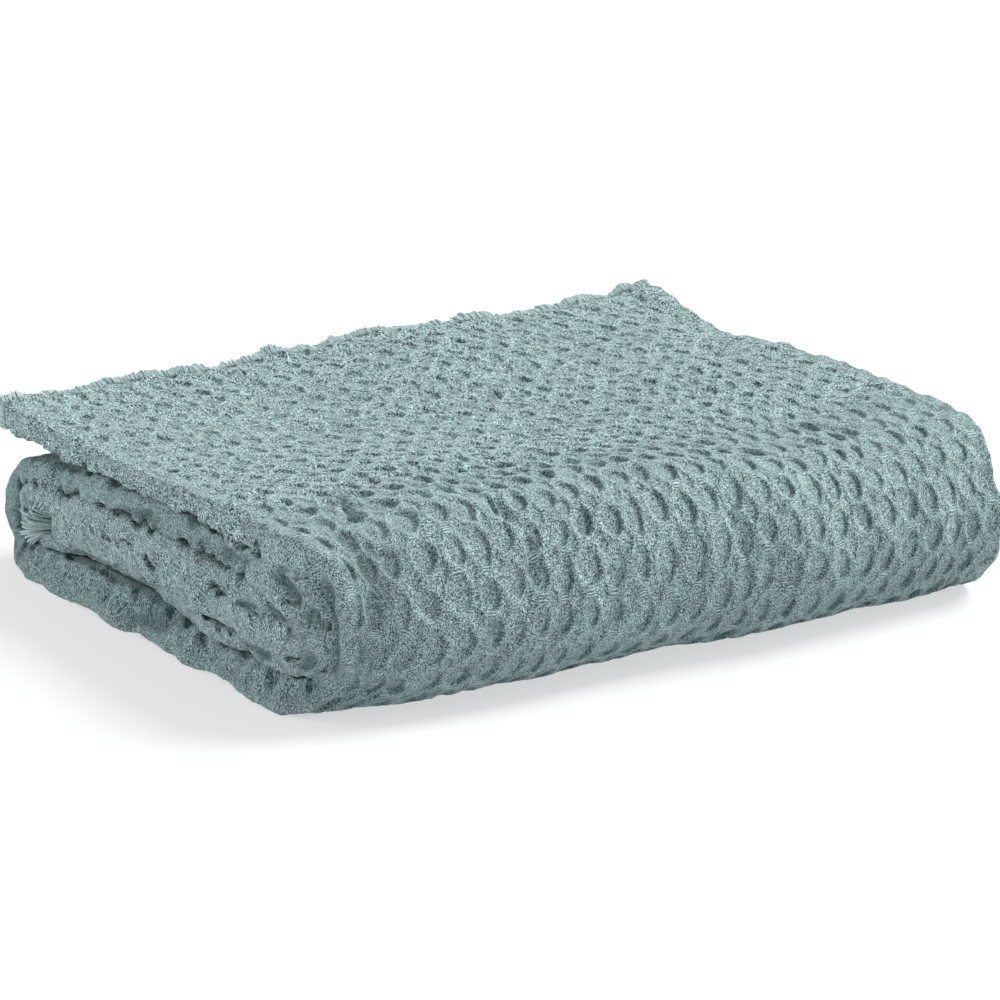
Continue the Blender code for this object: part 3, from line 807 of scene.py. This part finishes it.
# ---- Yarn ends ----------------------------------------------------------------------------------
def yarn_mesh(name, lines, radii):
    """Tapered threads: lines is threads x points x 3, radii is threads x points."""
    threads, points, _ = lines.shape
    tangent = np.gradient(lines, axis=1)
    tangent /= np.maximum(np.linalg.norm(tangent, axis=-1, keepdims=True), 1e-12)
    helper = np.where(np.abs(tangent[..., 2:3]) > 0.9, np.array([1.0, 0, 0]), np.array([0, 0, 1.0]))
    first = np.cross(tangent, helper)
    first /= np.linalg.norm(first, axis=-1, keepdims=True)
    second = np.cross(tangent, first)
    angle = np.arange(YARN_SIDES) * 2 * math.pi / YARN_SIDES
    ring = first[:, :, None] * np.cos(angle)[None, None, :, None]
    ring = ring + second[:, :, None] * np.sin(angle)[None, None, :, None]
    vertices = (lines[:, :, None] + ring * radii[:, :, None, None]).reshape(-1, 3)
    index = np.arange(threads * points * YARN_SIDES).reshape(threads, points, YARN_SIDES)
    turned = np.roll(index, -1, axis=2)
    walls = np.stack([index[:, :-1], turned[:, :-1], turned[:, 1:], index[:, 1:]], axis=-1).reshape(-1, 4)
    faces = walls.tolist() + index[:, 0, ::-1].tolist() + index[:, -1].tolist()
    mesh = bpy.data.meshes.new(name)
    mesh.from_pydata(vertices.tolist(), [], faces)
    mesh.shade_smooth()
    return mesh


def fray(weave, s_root, heading, count, seed, seen_share):
    """Centre lines and radii of the loose yarn ends along a woven end of the cloth.

    The ends lie close side by side as a soft brush that leans together into tufts and curls over."""
    random = np.random.default_rng(seed)
    seen = int(count * seen_share)
    root_u = np.concatenate([random.uniform(PLY_TWO_END, LEFT_NOSE_END, seen),
                             random.uniform(ROOT_MARGIN, CLOTH_WIDTH - ROOT_MARGIN, count - seen)])
    tuft = np.floor(root_u / weave.tuft_pitch)
    centre = (tuft + 0.5 + 0.5 * (hashed(tuft, tuft, seed) - 0.5)) * weave.tuft_pitch
    tall = (hashed(tuft, tuft * 11, seed + 4) > TALL_TUFTS) * bell(root_u - centre, TALL_TUFT_WIDTH)
    mean, varied, extra = TUFT_LENGTHS
    tuft_length = mean + varied * noise_line(root_u / 0.012, seed + 1) + extra * tall
    reach = weave.fringe_length * tuft_length * random.uniform(0.92, 1.04, count)
    gather = random.uniform(0.0, 0.16, count) * (0.3 + hashed(tuft, tuft * 5, seed + 5)) + 0.3 * tall
    lean = 0.0022 * noise_line(root_u / 0.014, seed + 2) + random.normal(0.0, 0.0004, count)
    lift = 0.0006 + 0.0014 * noise_line(root_u / 0.011, seed + 3) + random.normal(0.0, 0.0004, count)
    root_offset = random.uniform(-0.0010, 0.0012, count)
    t = np.linspace(0.0, 1.0, YARN_POINTS)[None, :]
    u = root_u[:, None] + (gather * (centre - root_u))[:, None] * t ** 1.3 + lean[:, None] * t ** 2
    s = s_root + heading * (-ROOT_DEPTH + (reach + ROOT_DEPTH)[:, None] * (t - 0.12 * t ** 3))
    offset = root_offset[:, None] * (1.0 - 0.2 * t) + lift[:, None] * np.sin(2.3 * t)
    offset = offset + YARN_CURL * np.sin(3.0 * t)
    lines = place(u.ravel(), s.ravel(), offset.ravel()).reshape(count, t.shape[1], 3)
    radii = weave.yarn / 2 * random.uniform(0.85, 1.2, count)[:, None] * (1.0 - YARN_TAPER * t ** 2)
    return lines, radii


def core_tuft(count, seed):
    """Centre lines and radii of the yarn ends that fan out of the core's left end."""
    random = np.random.default_rng(seed)
    share = np.linspace(0.0, 1.0, count)
    root_u = PLY_ONE_END + (0.10 + 0.8 * share) * math.pi * WIDE
    root_s = CLOTH_RUN - random.uniform(0.001, 0.006, count)
    root = place(root_u, root_s, random.uniform(-0.001, 0.0005, count))
    turn = math.radians(CORE_FAN[0]) - math.radians(CORE_FAN[1]) * share + random.normal(0.0, 0.20, count)
    length = random.uniform(0.010, 0.0160, count)
    t = np.linspace(0.0, 1.0, CORE_YARN_POINTS)[None, :]
    out = -CORE_YARN_REACH * np.sin(1.9 * t) * random.uniform(0.75, 1.1, (count, 1))
    spread = length[:, None] * t ** 1.4
    sag = -CORE_YARN_SAG * t ** 2
    lines = root[:, None, :] + np.stack([
        out, -np.cos(turn)[:, None] * spread, np.sin(turn)[:, None] * spread * 0.8 + sag], axis=-1)
    return lines, CORE_YARN_RADIUS * random.uniform(0.8, 1.2, (count, 1)) * (1.0 - YARN_TAPER * t ** 2)


# ---- Materials ----------------------------------------------------------------------------------
BEND_MM, BEND_REACH_MM = 4.0, 1.6    # the yarn wanders by up to the second length over the first
STRANDS = ((0.90, 2.2, 0.0), (2.3, 0.95, 0.0))   # to a millimetre: strands that run across, and along
GRAINS = ((2.9, 2.9, 0.0), (2.5, 1.35, 0.0))     # to a millimetre: on the folds, and on the top
TOP_ROWS = (13.0, 16.5)              # rows of hollows, counted from the flap, over which the top ends
FLOAT_WIDTH = 1.3                    # of the yarn's
WAVE_PERIOD = 0.314                  # scale of a wave texture whose bands are one unit wide
PATCH_MM = 6.25                      # random patches where the floats show
SLUB_MM = 10.0                       # thicker and thinner places of the yarn
RELIEF_HEIGHT = 0.00016              # of the strands and floats
FRAYED_CLUMPS = 900.0                # to a metre
FLOOR_CLOUDS = 3.0                   # to a metre


def fill_inputs(tree, node, inputs):
    """Fills a node's inputs with values or links."""
    for key, value in inputs.items():
        if isinstance(value, bpy.types.NodeSocket):
            tree.links.new(value, node.inputs[key])
        else:
            node.inputs[key].default_value = value


def add_node(tree, kind, settings, inputs):
    """Adds a shader node, sets its options, and fills its inputs with values or links."""
    made = tree.nodes.new("ShaderNode" + kind)
    for name, value in settings.items():
        setattr(made, name, value)
    fill_inputs(tree, made, inputs)
    return made


def new_material(name):
    """An empty node material with its shader; returns the material, its tree and its shader."""
    made = bpy.data.materials.new(name)
    made.use_nodes = True
    return made, made.node_tree, made.node_tree.nodes["Principled BSDF"]


def crossing_lean(tree, cell):
    """2 on the crossings above and below a hollow, -2 on those to its sides."""
    side_wave, run_wave = (add_node(tree, "Math", {"operation": "COSINE"}, {
        0: add_node(tree, "Math", {"operation": "MULTIPLY"}, {0: cell[axis], 1: 2 * math.pi}).outputs[0]
    }).outputs[0] for axis in ("X", "Y"))
    return add_node(tree, "Math", {"operation": "SUBTRACT"}, {0: side_wave, 1: run_wave}).outputs[0]


def thread_relief(tree, bent, lean):
    """Strands of yarn about half a millimetre wide: across the cloth on some crossings, else along it."""
    strands = []
    for stretch in STRANDS:
        drawn = add_node(tree, "VectorMath", {"operation": "MULTIPLY"}, {
            0: bent, 1: stretch}).outputs["Vector"]
        strands.append(add_node(tree, "TexNoise", {"noise_dimensions": "2D"}, {
            "Vector": drawn, "Scale": 1.0, "Detail": 1.0, "Roughness": 0.5}).outputs["Fac"])
    crossing = add_node(tree, "MapRange", {"interpolation_type": "SMOOTHSTEP"}, {
        "Value": lean, "From Min": -1.3, "From Max": 0.3}).outputs["Result"]
    threads = add_node(tree, "Mix", {"data_type": "FLOAT"}, {
        "Factor": crossing, "A": strands[1], "B": strands[0]}).outputs["Result"]
    return add_node(tree, "MapRange", {"clamp": True}, {
        "Value": threads, "From Min": 0.36, "From Max": 0.64}).outputs["Result"]


def nap_grains(tree, cell, place_mm):
    """Grains of the nap, a third of a millimetre wide; on the flat top they are longer, as it was brushed.

    Single fibres are too fine to show, so each grain stands for a little tangle of them. Their light and
    dark are partly the nap's speckled tone and partly painted shade among the fibres."""
    grains = []
    for stretch in GRAINS:
        drawn = add_node(tree, "VectorMath", {"operation": "MULTIPLY"}, {
            0: place_mm, 1: stretch}).outputs["Vector"]
        grain = add_node(tree, "TexVoronoi", {"voronoi_dimensions": "2D"}, {"Vector": drawn, "Scale": 1.0})
        grains.append(add_node(tree, "SeparateXYZ", {}, {"Vector": grain.outputs["Color"]}).outputs["X"])
    on_top = add_node(tree, "MapRange", {"interpolation_type": "SMOOTHSTEP"}, {
        "Value": cell["Y"], "From Min": TOP_ROWS[0], "From Max": TOP_ROWS[1], "To Min": 1.0, "To Max": 0.0})
    nap = add_node(tree, "Mix", {"data_type": "FLOAT"}, {
        "Factor": on_top.outputs["Result"], "A": grains[0], "B": grains[1]}).outputs["Result"]
    return add_node(tree, "MapRange", {"clamp": True}, {
        "Value": nap, "From Min": 0.28, "From Max": 0.92}).outputs["Result"]


def short_floats(tree, bent, place_mm, lean, yarn):
    """Short floats, side by side on the crossings above and below a hollow, and where they show.

    They show in random patches 6 mm wide, and each is 1.3 times as wide as the yarn. In the colour they run
    from painted shade between them to painted highlight on their crests."""
    threads = add_node(tree, "TexWave", {"bands_direction": "Y", "wave_profile": "SIN"}, {
        "Vector": bent, "Scale": WAVE_PERIOD / (yarn * 1000 * FLOAT_WIDTH), "Distortion": 2.5,
        "Detail": 1.0, "Detail Scale": 1.5}).outputs["Fac"]
    patches = add_node(tree, "TexNoise", {"noise_dimensions": "2D"}, {
        "Vector": place_mm, "Scale": 1.0 / PATCH_MM, "Detail": 1.0}).outputs["Fac"]
    float_patches = add_node(tree, "MapRange", {}, {
        "Value": patches, "From Min": 0.42, "From Max": 0.62}).outputs["Result"]
    crest = add_node(tree, "MapRange", {"interpolation_type": "SMOOTHSTEP"}, {
        "Value": lean, "From Min": 1.25, "From Max": 1.95, "To Max": 0.8}).outputs["Result"]
    return threads, add_node(tree, "Math", {"operation": "MULTIPLY"}, {0: float_patches, 1: crest}).outputs[0]


def yarn_tint_with_painted_shade(tree, colours, surface, painted_shade_share, place_mm):
    """Colour of the yarn, cloudy over a centimetre from its slubs, with painted shade in its hollows,
    creases, crevices and lowest rows.
    """
    plain = add_node(tree, "Mix", {"data_type": "RGBA"}, {
        "Factor": surface, "A": linear(colours.shade), "B": linear(colours.light)}).outputs["Result"]
    painted_shade_mix = add_node(tree, "MapRange", {"clamp": True}, {
        "Value": painted_shade_share, "From Min": 0.05, "From Max": 0.95, "To Max": 0.62}).outputs["Result"]
    sunk = add_node(tree, "Mix", {"data_type": "RGBA"}, {
        "Factor": painted_shade_mix, "A": plain, "B": linear(colours.hollow)}).outputs["Result"]
    slub = add_node(tree, "TexNoise", {"noise_dimensions": "2D"}, {
        "Vector": place_mm, "Scale": 1.0 / SLUB_MM, "Detail": 3.0, "Roughness": 0.6}).outputs["Fac"]
    cloudy = add_node(tree, "MapRange", {}, {
        "Value": slub, "From Min": 0.3, "From Max": 0.7, "To Min": 0.88, "To Max": 1.12}).outputs["Result"]
    return add_node(tree, "VectorMath", {"operation": "SCALE"}, {
        0: sunk, "Scale": cloudy}).outputs["Vector"]


def honeycomb_cotton(colours, weave):
    """Woven honeycomb cotton: thick soft-spun yarn, matt, with floats that have painted highlight on their
    crests.

    The yarn is about 1.1 mm thick. It runs across on the crossings above and below each hollow and along
    the cloth on those to its sides. Loose fibre gives it a pale, grainy bloom, partly its own speckled tone
    and partly painted shade among the fibres, and the steep side of each hollow gets painted shade."""
    material, tree, shader = new_material("woven_honeycomb_cotton")
    woven, place_mm = (add_node(tree, "Attribute", {"attribute_name": name}, {}).outputs["Vector"]
                       for name in ("weave", "face_mm"))
    cell = add_node(tree, "SeparateXYZ", {}, {"Vector": woven}).outputs
    bend = add_node(tree, "TexNoise", {"noise_dimensions": "2D"}, {
        "Vector": place_mm, "Scale": 1.0 / BEND_MM, "Detail": 1.0, "Roughness": 0.6}).outputs["Color"]
    bent = add_node(tree, "VectorMath", {"operation": "MULTIPLY_ADD"}, {
        0: bend, 1: (BEND_REACH_MM, BEND_REACH_MM, 0.0), 2: place_mm}).outputs["Vector"]
    lean = crossing_lean(tree, cell)
    relief = thread_relief(tree, bent, lean)
    yarn = add_node(tree, "Mix", {"data_type": "FLOAT"}, {
        "Factor": 0.93, "A": relief, "B": nap_grains(tree, cell, place_mm)}).outputs["Result"]
    floats, float_share = short_floats(tree, bent, place_mm, lean, weave.yarn)
    surface, raised = (add_node(tree, "Mix", {"data_type": "FLOAT"}, {
        "Factor": float_share, "A": between, "B": floats}).outputs["Result"] for between in (yarn, relief))
    bump = add_node(tree, "Bump", {}, {"Strength": 1.0, "Distance": RELIEF_HEIGHT, "Height": raised})
    # Cotton fibre: no gloss, only the soft bloom of loose ends at grazing light.
    # the tint mixes in painted shade by the share that the mesh carries in cell Z
    tint = yarn_tint_with_painted_shade(tree, colours, surface, cell["Z"], place_mm)
    fill_inputs(tree, shader, {
        "Base Color": tint, "Normal": bump.outputs["Normal"], "Roughness": 0.92, "IOR": 1.45,
        "Specular IOR Level": 0.25, "Sheen Weight": 0.22, "Sheen Roughness": 0.5,
        "Sheen Tint": linear(colours.bloom)})
    return material


def frayed_cotton(colours):
    """Frayed cotton yarn: the same thread let out of the weave, paler because light gets into it.

    Its fibres are drawn in clumps of about 1 mm, because single ones are too fine to show."""
    material, tree, shader = new_material("frayed_cotton_yarn")
    where = add_node(tree, "TexCoord", {}, {}).outputs["Object"]
    fibre = add_node(tree, "TexNoise", {}, {
        "Vector": where, "Scale": FRAYED_CLUMPS, "Detail": 3.0, "Roughness": 0.7}).outputs["Fac"]
    shade = add_node(tree, "MapRange", {}, {
        "Value": fibre, "From Min": 0.3, "From Max": 0.7}).outputs["Result"]
    tint = add_node(tree, "Mix", {"data_type": "RGBA"}, {
        "Factor": shade, "A": linear(colours.frayed), "B": linear(colours.lint)}).outputs["Result"]
    bump = add_node(tree, "Bump", {}, {"Strength": 0.6, "Distance": 0.0003, "Height": fibre})
    fill_inputs(tree, shader, {
        "Base Color": tint, "Normal": bump.outputs["Normal"], "Roughness": 0.95, "IOR": 1.45,
        "Specular IOR Level": 0.2, "Sheen Weight": 0.3, "Sheen Roughness": 0.5,
        "Sheen Tint": linear(colours.bloom)})
    return material


def opal_floor(colour, glow):
    """Opal acrylic sheet of a light table, cast and matt: plain and white, with only the softest shadow."""
    material, tree, shader = new_material("opal_acrylic_light_table")
    where = add_node(tree, "TexCoord", {}, {}).outputs["Object"]
    mottle = add_node(tree, "TexNoise", {}, {
        "Vector": where, "Scale": FLOOR_CLOUDS, "Detail": 2.0}).outputs["Fac"]
    dimmed = [part * 0.94 for part in linear(colour)[:3]] + [1.0]
    tint = add_node(tree, "Mix", {"data_type": "RGBA"}, {
        "Factor": mottle, "A": linear(colour), "B": dimmed}).outputs["Result"]
    fill_inputs(tree, shader, {"Base Color": tint, "Roughness": 0.8, "Emission Color": linear("#FFFFFF"),
                               "Emission Strength": glow})
    return material


# ---- Settings -----------------------------------------------------------------------------------
def length_setting(name, description, default):
    """A length in metres that the panel shows."""
    return bpy.props.FloatProperty(name=name, description=description, default=default, min=0.0,
                                   unit="LENGTH", subtype="DISTANCE", precision=4)


def amount_setting(name, description, default, subtype="NONE"):
    """A plain number, a share or an angle."""
    return bpy.props.FloatProperty(name=name, description=description, default=default, subtype=subtype)


def hex_setting(name, description, default):
    """An sRGB colour written as hex."""
    return bpy.props.StringProperty(name=name, description=description, default=default)


class ThrowWeave(bpy.types.PropertyGroup):
    """Sizes of the honeycomb weave and its yarn."""
    cell_width: length_setting("Cell width", "Distance between hollows along the bundle", 0.0160)
    cell_length: length_setting("Cell length", "Distance between hollows along the wrap", 0.0180)
    pit_depth: length_setting("Hollow depth", "Depth of a deep hollow under the ridges", 0.0014)
    second_share: amount_setting("Second hollows", "Depth of the hollows between the deep ones, as a share",
                                 0.40, "FACTOR")
    yarn: length_setting("Yarn", "Thickness of the yarn", 0.0011)
    tuft_pitch: length_setting("Tuft pitch", "Distance between tufts of the fringe", 0.0052)
    fringe_length: length_setting("Fringe length", "Mean length of a loose end", 0.0050)
    face_step: length_setting("Face step", "Mesh step across the seen face", 0.00095)
    fold_step: length_setting("Fold step", "Mesh step round the side folds", 0.00115)
    hidden_step: length_setting("Hidden step", "Mesh step between plies", 0.0150)


class ThrowColours(bpy.types.PropertyGroup):
    """Colours of the dyed cotton, and of the painted shade in its hollows."""
    # light and shade: the yarn's speckle, with painted highlight on thread tops and painted shade between
    light: hex_setting("Yarn", "Tops of the threads", "#C7E3E4")
    shade: hex_setting("Between threads", "Where threads meet", "#0C2A30")
    # painted shade, for hollows, creases, crevices, the groove and the lowest rows
    hollow: hex_setting("Hollows", "Steep side of a hollow", "#284A4E")
    frayed: hex_setting("Frayed yarn", "Darker side of a loose end", "#89A6A7")
    lint: hex_setting("Lint", "Lighter side of a loose end", "#CBDADA")
    bloom: hex_setting("Bloom", "Loose fibre at grazing light", "#DCE6E6")


class ThrowStage(bpy.types.PropertyGroup):
    """Light and floor of the plain studio."""
    floor: hex_setting("Floor", "Colour of the floor", "#A2A3A3")
    floor_glow: amount_setting("Floor glow", "Light from under the floor sheet", 0.56)
    key: amount_setting("Key light", "Strength of the broad light on the right", 3.6)
    key_width: amount_setting("Key width", "Width of the light on the right", 0.5, "ANGLE")
    fill: amount_setting("Fill light", "Power of the soft light in front", 1.4)
    side_fill: amount_setting("Side fill", "Power of the soft light at the left end", 4.4)
    world: amount_setting("Surroundings", "Strength of the even white light", 0.54)


# ---- Operators ----------------------------------------------------------------------------------
# Name, part of the width, first and last place along the wrap, step along it (0 is a hidden part).
SHEETS = (
    ("throw_top_back", "band", 0.0, 0.150, 0.00095),
    ("throw_top_front", "band", 0.150, RUN_START["front"], 0.00095),
    ("throw_front_fold", "band", RUN_START["front"], RUN_START["underside"], 0.00095),
    ("throw_underside", "band_coarse", RUN_START["underside"], RUN_START["back"], 0.0032),
    ("throw_back_fold", "band_coarse", RUN_START["back"], RUN_START["fifth"], 0.0013),
    ("throw_left_folds", "left_folds", RUN_START["fifth"], CLOTH_RUN, 0.00125),
    ("throw_right_folds", "right_folds", RUN_START["fifth"], CLOTH_RUN, 0.0017),
    ("throw_selvedge", "selvedge", 0.0, CLOTH_RUN, 0.0030),
    ("throw_inner_ply_one", "ply_one", RUN_START["fifth"], CLOTH_RUN, 0),
    ("throw_inner_ply_two", "ply_two", 0.0, CLOTH_RUN, 0),
    ("throw_inner_ply_three", "ply_three", 0.0, CLOTH_RUN, 0),
)
# Name, place along the wrap, heading, number of yarn ends, seed, share of them on the seen ply.
FRINGES = (
    ("throw_fringe_outer", 0.0, -1.0, 3200, 5, 0.65),
    ("throw_fringe_inner", CLOTH_RUN, 1.0, 400, 9, 0.0),
)
CORE_TUFT_ENDS, CORE_TUFT_SEED = 34, 4


class THROW_OT_cloth(bpy.types.Operator):
    """Makes the folded honeycomb cloth, run by run, in place of the plain solid"""
    bl_idname = "throw.cloth"
    bl_label = "Honeycomb Cloth"

    def execute(self, context):
        weave, colours = context.scene.throw_weave, context.scene.throw_colours
        cotton = honeycomb_cotton(colours, weave)
        for name, part, start, end, step in SHEETS:
            u, s = columns(part, weave), rows(start, end, step, weave)
            cloth = link_object(name, sheet_mesh(name, u, s, REVERSE_STRIDE if step else 1, weave), cotton)
            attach(cloth, "root")
            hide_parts("throw_cloth")
        return {"FINISHED"}


class THROW_OT_fringe(bpy.types.Operator):
    """Makes the loose yarn ends of both woven ends"""
    bl_idname = "throw.fringe"
    bl_label = "Frayed Ends"

    def execute(self, context):
        weave, colours = context.scene.throw_weave, context.scene.throw_colours
        yarn = frayed_cotton(colours)
        for name, s_root, heading, count, seed, seen in FRINGES:
            lines, radii = fray(weave, s_root, heading, count, seed, seen)
            ends = link_object(name, yarn_mesh(name, lines, radii), yarn)
            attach(ends, "root")
            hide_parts(name.replace("throw_", ""))
        lines, radii = core_tuft(CORE_TUFT_ENDS, CORE_TUFT_SEED)
        tuft = link_object("throw_core_tuft", yarn_mesh("throw_core_tuft", lines, radii), yarn)
        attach(tuft, "root")
        return {"FINISHED"}


class THROW_OT_declare(bpy.types.Operator):
    """Finishes without doing anything"""
    bl_idname = "throw.declare"
    bl_label = "Declare Cloth"

    def execute(self, context):
        return {"FINISHED"}


class THROW_OT_stage(bpy.types.Operator):
    """Makes the floor, the soft lights and the camera"""
    bl_idname = "throw.stage"
    bl_label = "Plain Studio"

    def execute(self, context):
        stage = context.scene.throw_stage
        make_floor(stage)
        make_lights(stage)
        make_camera()
        return {"FINISHED"}


# ---- Stage --------------------------------------------------------------------------------------
CAMERA_AZIMUTH = math.radians(-34.64)
CAMERA_ELEVATION = math.radians(17.95)
CAMERA_ROLL = math.radians(1.35)
CAMERA_DISTANCE = 3.444
CAMERA_AIM = Vector((0.0, 0.0, 0.040))
CAMERA_SLIDE = (0.0031, 0.0033)   # to the right and up in the view, for the framing
CAMERA_LENS, CAMERA_SENSOR = 230.9, 36.0   # millimetres
CAMERA_CLIP = (0.05, 50.0)
FLOOR_REACH = 6


def make_camera():
    """A long lens from the front left, a little above the bundle."""
    back = Vector((math.sin(CAMERA_AZIMUTH) * math.cos(CAMERA_ELEVATION),
                   -math.cos(CAMERA_AZIMUTH) * math.cos(CAMERA_ELEVATION), math.sin(CAMERA_ELEVATION)))
    level_right = Vector((math.cos(CAMERA_AZIMUTH), math.sin(CAMERA_AZIMUTH), 0.0))
    level_up = back.cross(level_right)
    right = level_right * math.cos(CAMERA_ROLL) + level_up * math.sin(CAMERA_ROLL)
    up = level_up * math.cos(CAMERA_ROLL) - level_right * math.sin(CAMERA_ROLL)
    place_at = CAMERA_AIM + back * CAMERA_DISTANCE + right * CAMERA_SLIDE[0] + up * CAMERA_SLIDE[1]
    lens = bpy.data.cameras.new("view")
    lens.lens, lens.sensor_width = CAMERA_LENS, CAMERA_SENSOR
    lens.clip_start, lens.clip_end = CAMERA_CLIP
    camera = bpy.data.objects.new("view", lens)
    turned = Matrix((right, up, back)).transposed().to_4x4()
    camera.matrix_world = Matrix.Translation(place_at) @ turned
    bpy.context.scene.collection.objects.link(camera)
    bpy.context.scene.camera = camera


def make_floor(stage):
    """A wide pale floor under the bundle."""
    mesh = bpy.data.meshes.new("floor")
    corners = [(x * FLOOR_REACH, y * FLOOR_REACH, 0) for x, y in ((-1, -1), (1, -1), (1, 1), (-1, 1))]
    mesh.from_pydata(corners, [], [(0, 1, 2, 3)])
    link_object("floor", mesh, opal_floor(stage.floor, stage.floor_glow))


KEY_FROM = Vector((0.70, 0.00, 0.72))   # where the broad light stands, seen from the bundle
FILL_FROM = Vector((0.90, -0.55, 0.38))
SIDE_FILL_FROM = Vector((-1.20, 0.55, 0.45))
FILL_SIZE = 0.5


def make_light(name, kind, towards, **settings):
    """Links a light that looks from its place at the bundle."""
    lamp = bpy.data.lights.new(name, kind)
    for key, value in settings.items():
        setattr(lamp, key, value)
    made = bpy.data.objects.new(name, lamp)
    made.location = towards
    made.rotation_euler = (-towards).to_track_quat("-Z", "Y").to_euler()
    bpy.context.scene.collection.objects.link(made)


def make_lights(stage):
    """Even white surroundings, one broad light high on the right, and weak ones at two corners."""
    make_light("key_light", "SUN", KEY_FROM, energy=stage.key, angle=stage.key_width)
    make_light("fill_light", "AREA", FILL_FROM, energy=stage.fill, size=FILL_SIZE)
    make_light("side_fill_light", "AREA", SIDE_FILL_FROM, energy=stage.side_fill, size=FILL_SIZE)
    world = bpy.data.worlds.new("studio")
    world.use_nodes = True
    background = world.node_tree.nodes["Background"]
    background.inputs["Color"].default_value = linear("#FFFFFF")
    background.inputs["Strength"].default_value = stage.world
    bpy.context.scene.world = world
    bpy.context.scene.view_settings.view_transform = "Standard"


# ---- Add-on -------------------------------------------------------------------------------------
class THROW_PT_panel(bpy.types.Panel):
    """Lists the pieces of the throw and their settings"""
    bl_idname = "THROW_PT_panel"
    bl_label = "Throw Blanket"
    bl_space_type = "VIEW_3D"
    bl_region_type = "UI"
    bl_category = "Throw"

    def draw(self, context):
        for group in ("throw_weave", "throw_colours", "throw_stage"):
            settings = getattr(context.scene, group)
            for name in settings.bl_rna.properties.keys():
                if name not in ("rna_type", "name"):
                    self.layout.prop(settings, name)
        for operator in (THROW_OT_cloth, THROW_OT_fringe, THROW_OT_declare, THROW_OT_stage):
            self.layout.operator(operator.bl_idname)


CLASSES = (ThrowWeave, ThrowColours, ThrowStage, THROW_OT_cloth, THROW_OT_fringe, THROW_OT_declare,
           THROW_OT_stage, THROW_PT_panel)


def register():
    """Registers the classes and hangs their settings on the scene."""
    for each in CLASSES:
        bpy.utils.register_class(each)
    bpy.types.Scene.throw_weave = bpy.props.PointerProperty(type=ThrowWeave)
    bpy.types.Scene.throw_colours = bpy.props.PointerProperty(type=ThrowColours)
    bpy.types.Scene.throw_stage = bpy.props.PointerProperty(type=ThrowStage)


def unregister():
    """Takes the settings and classes away again."""
    del bpy.types.Scene.throw_stage
    del bpy.types.Scene.throw_colours
    del bpy.types.Scene.throw_weave
    for each in reversed(CLASSES):
        bpy.utils.unregister_class(each)


def main():
    """Makes every piece and the stage."""
    register()
    bpy.ops.throw.cloth()
    bpy.ops.throw.fringe()
    bpy.ops.throw.declare()
    bpy.ops.throw.stage()
    bpy.context.view_layer.update()


if __name__ == "__main__":
    main()
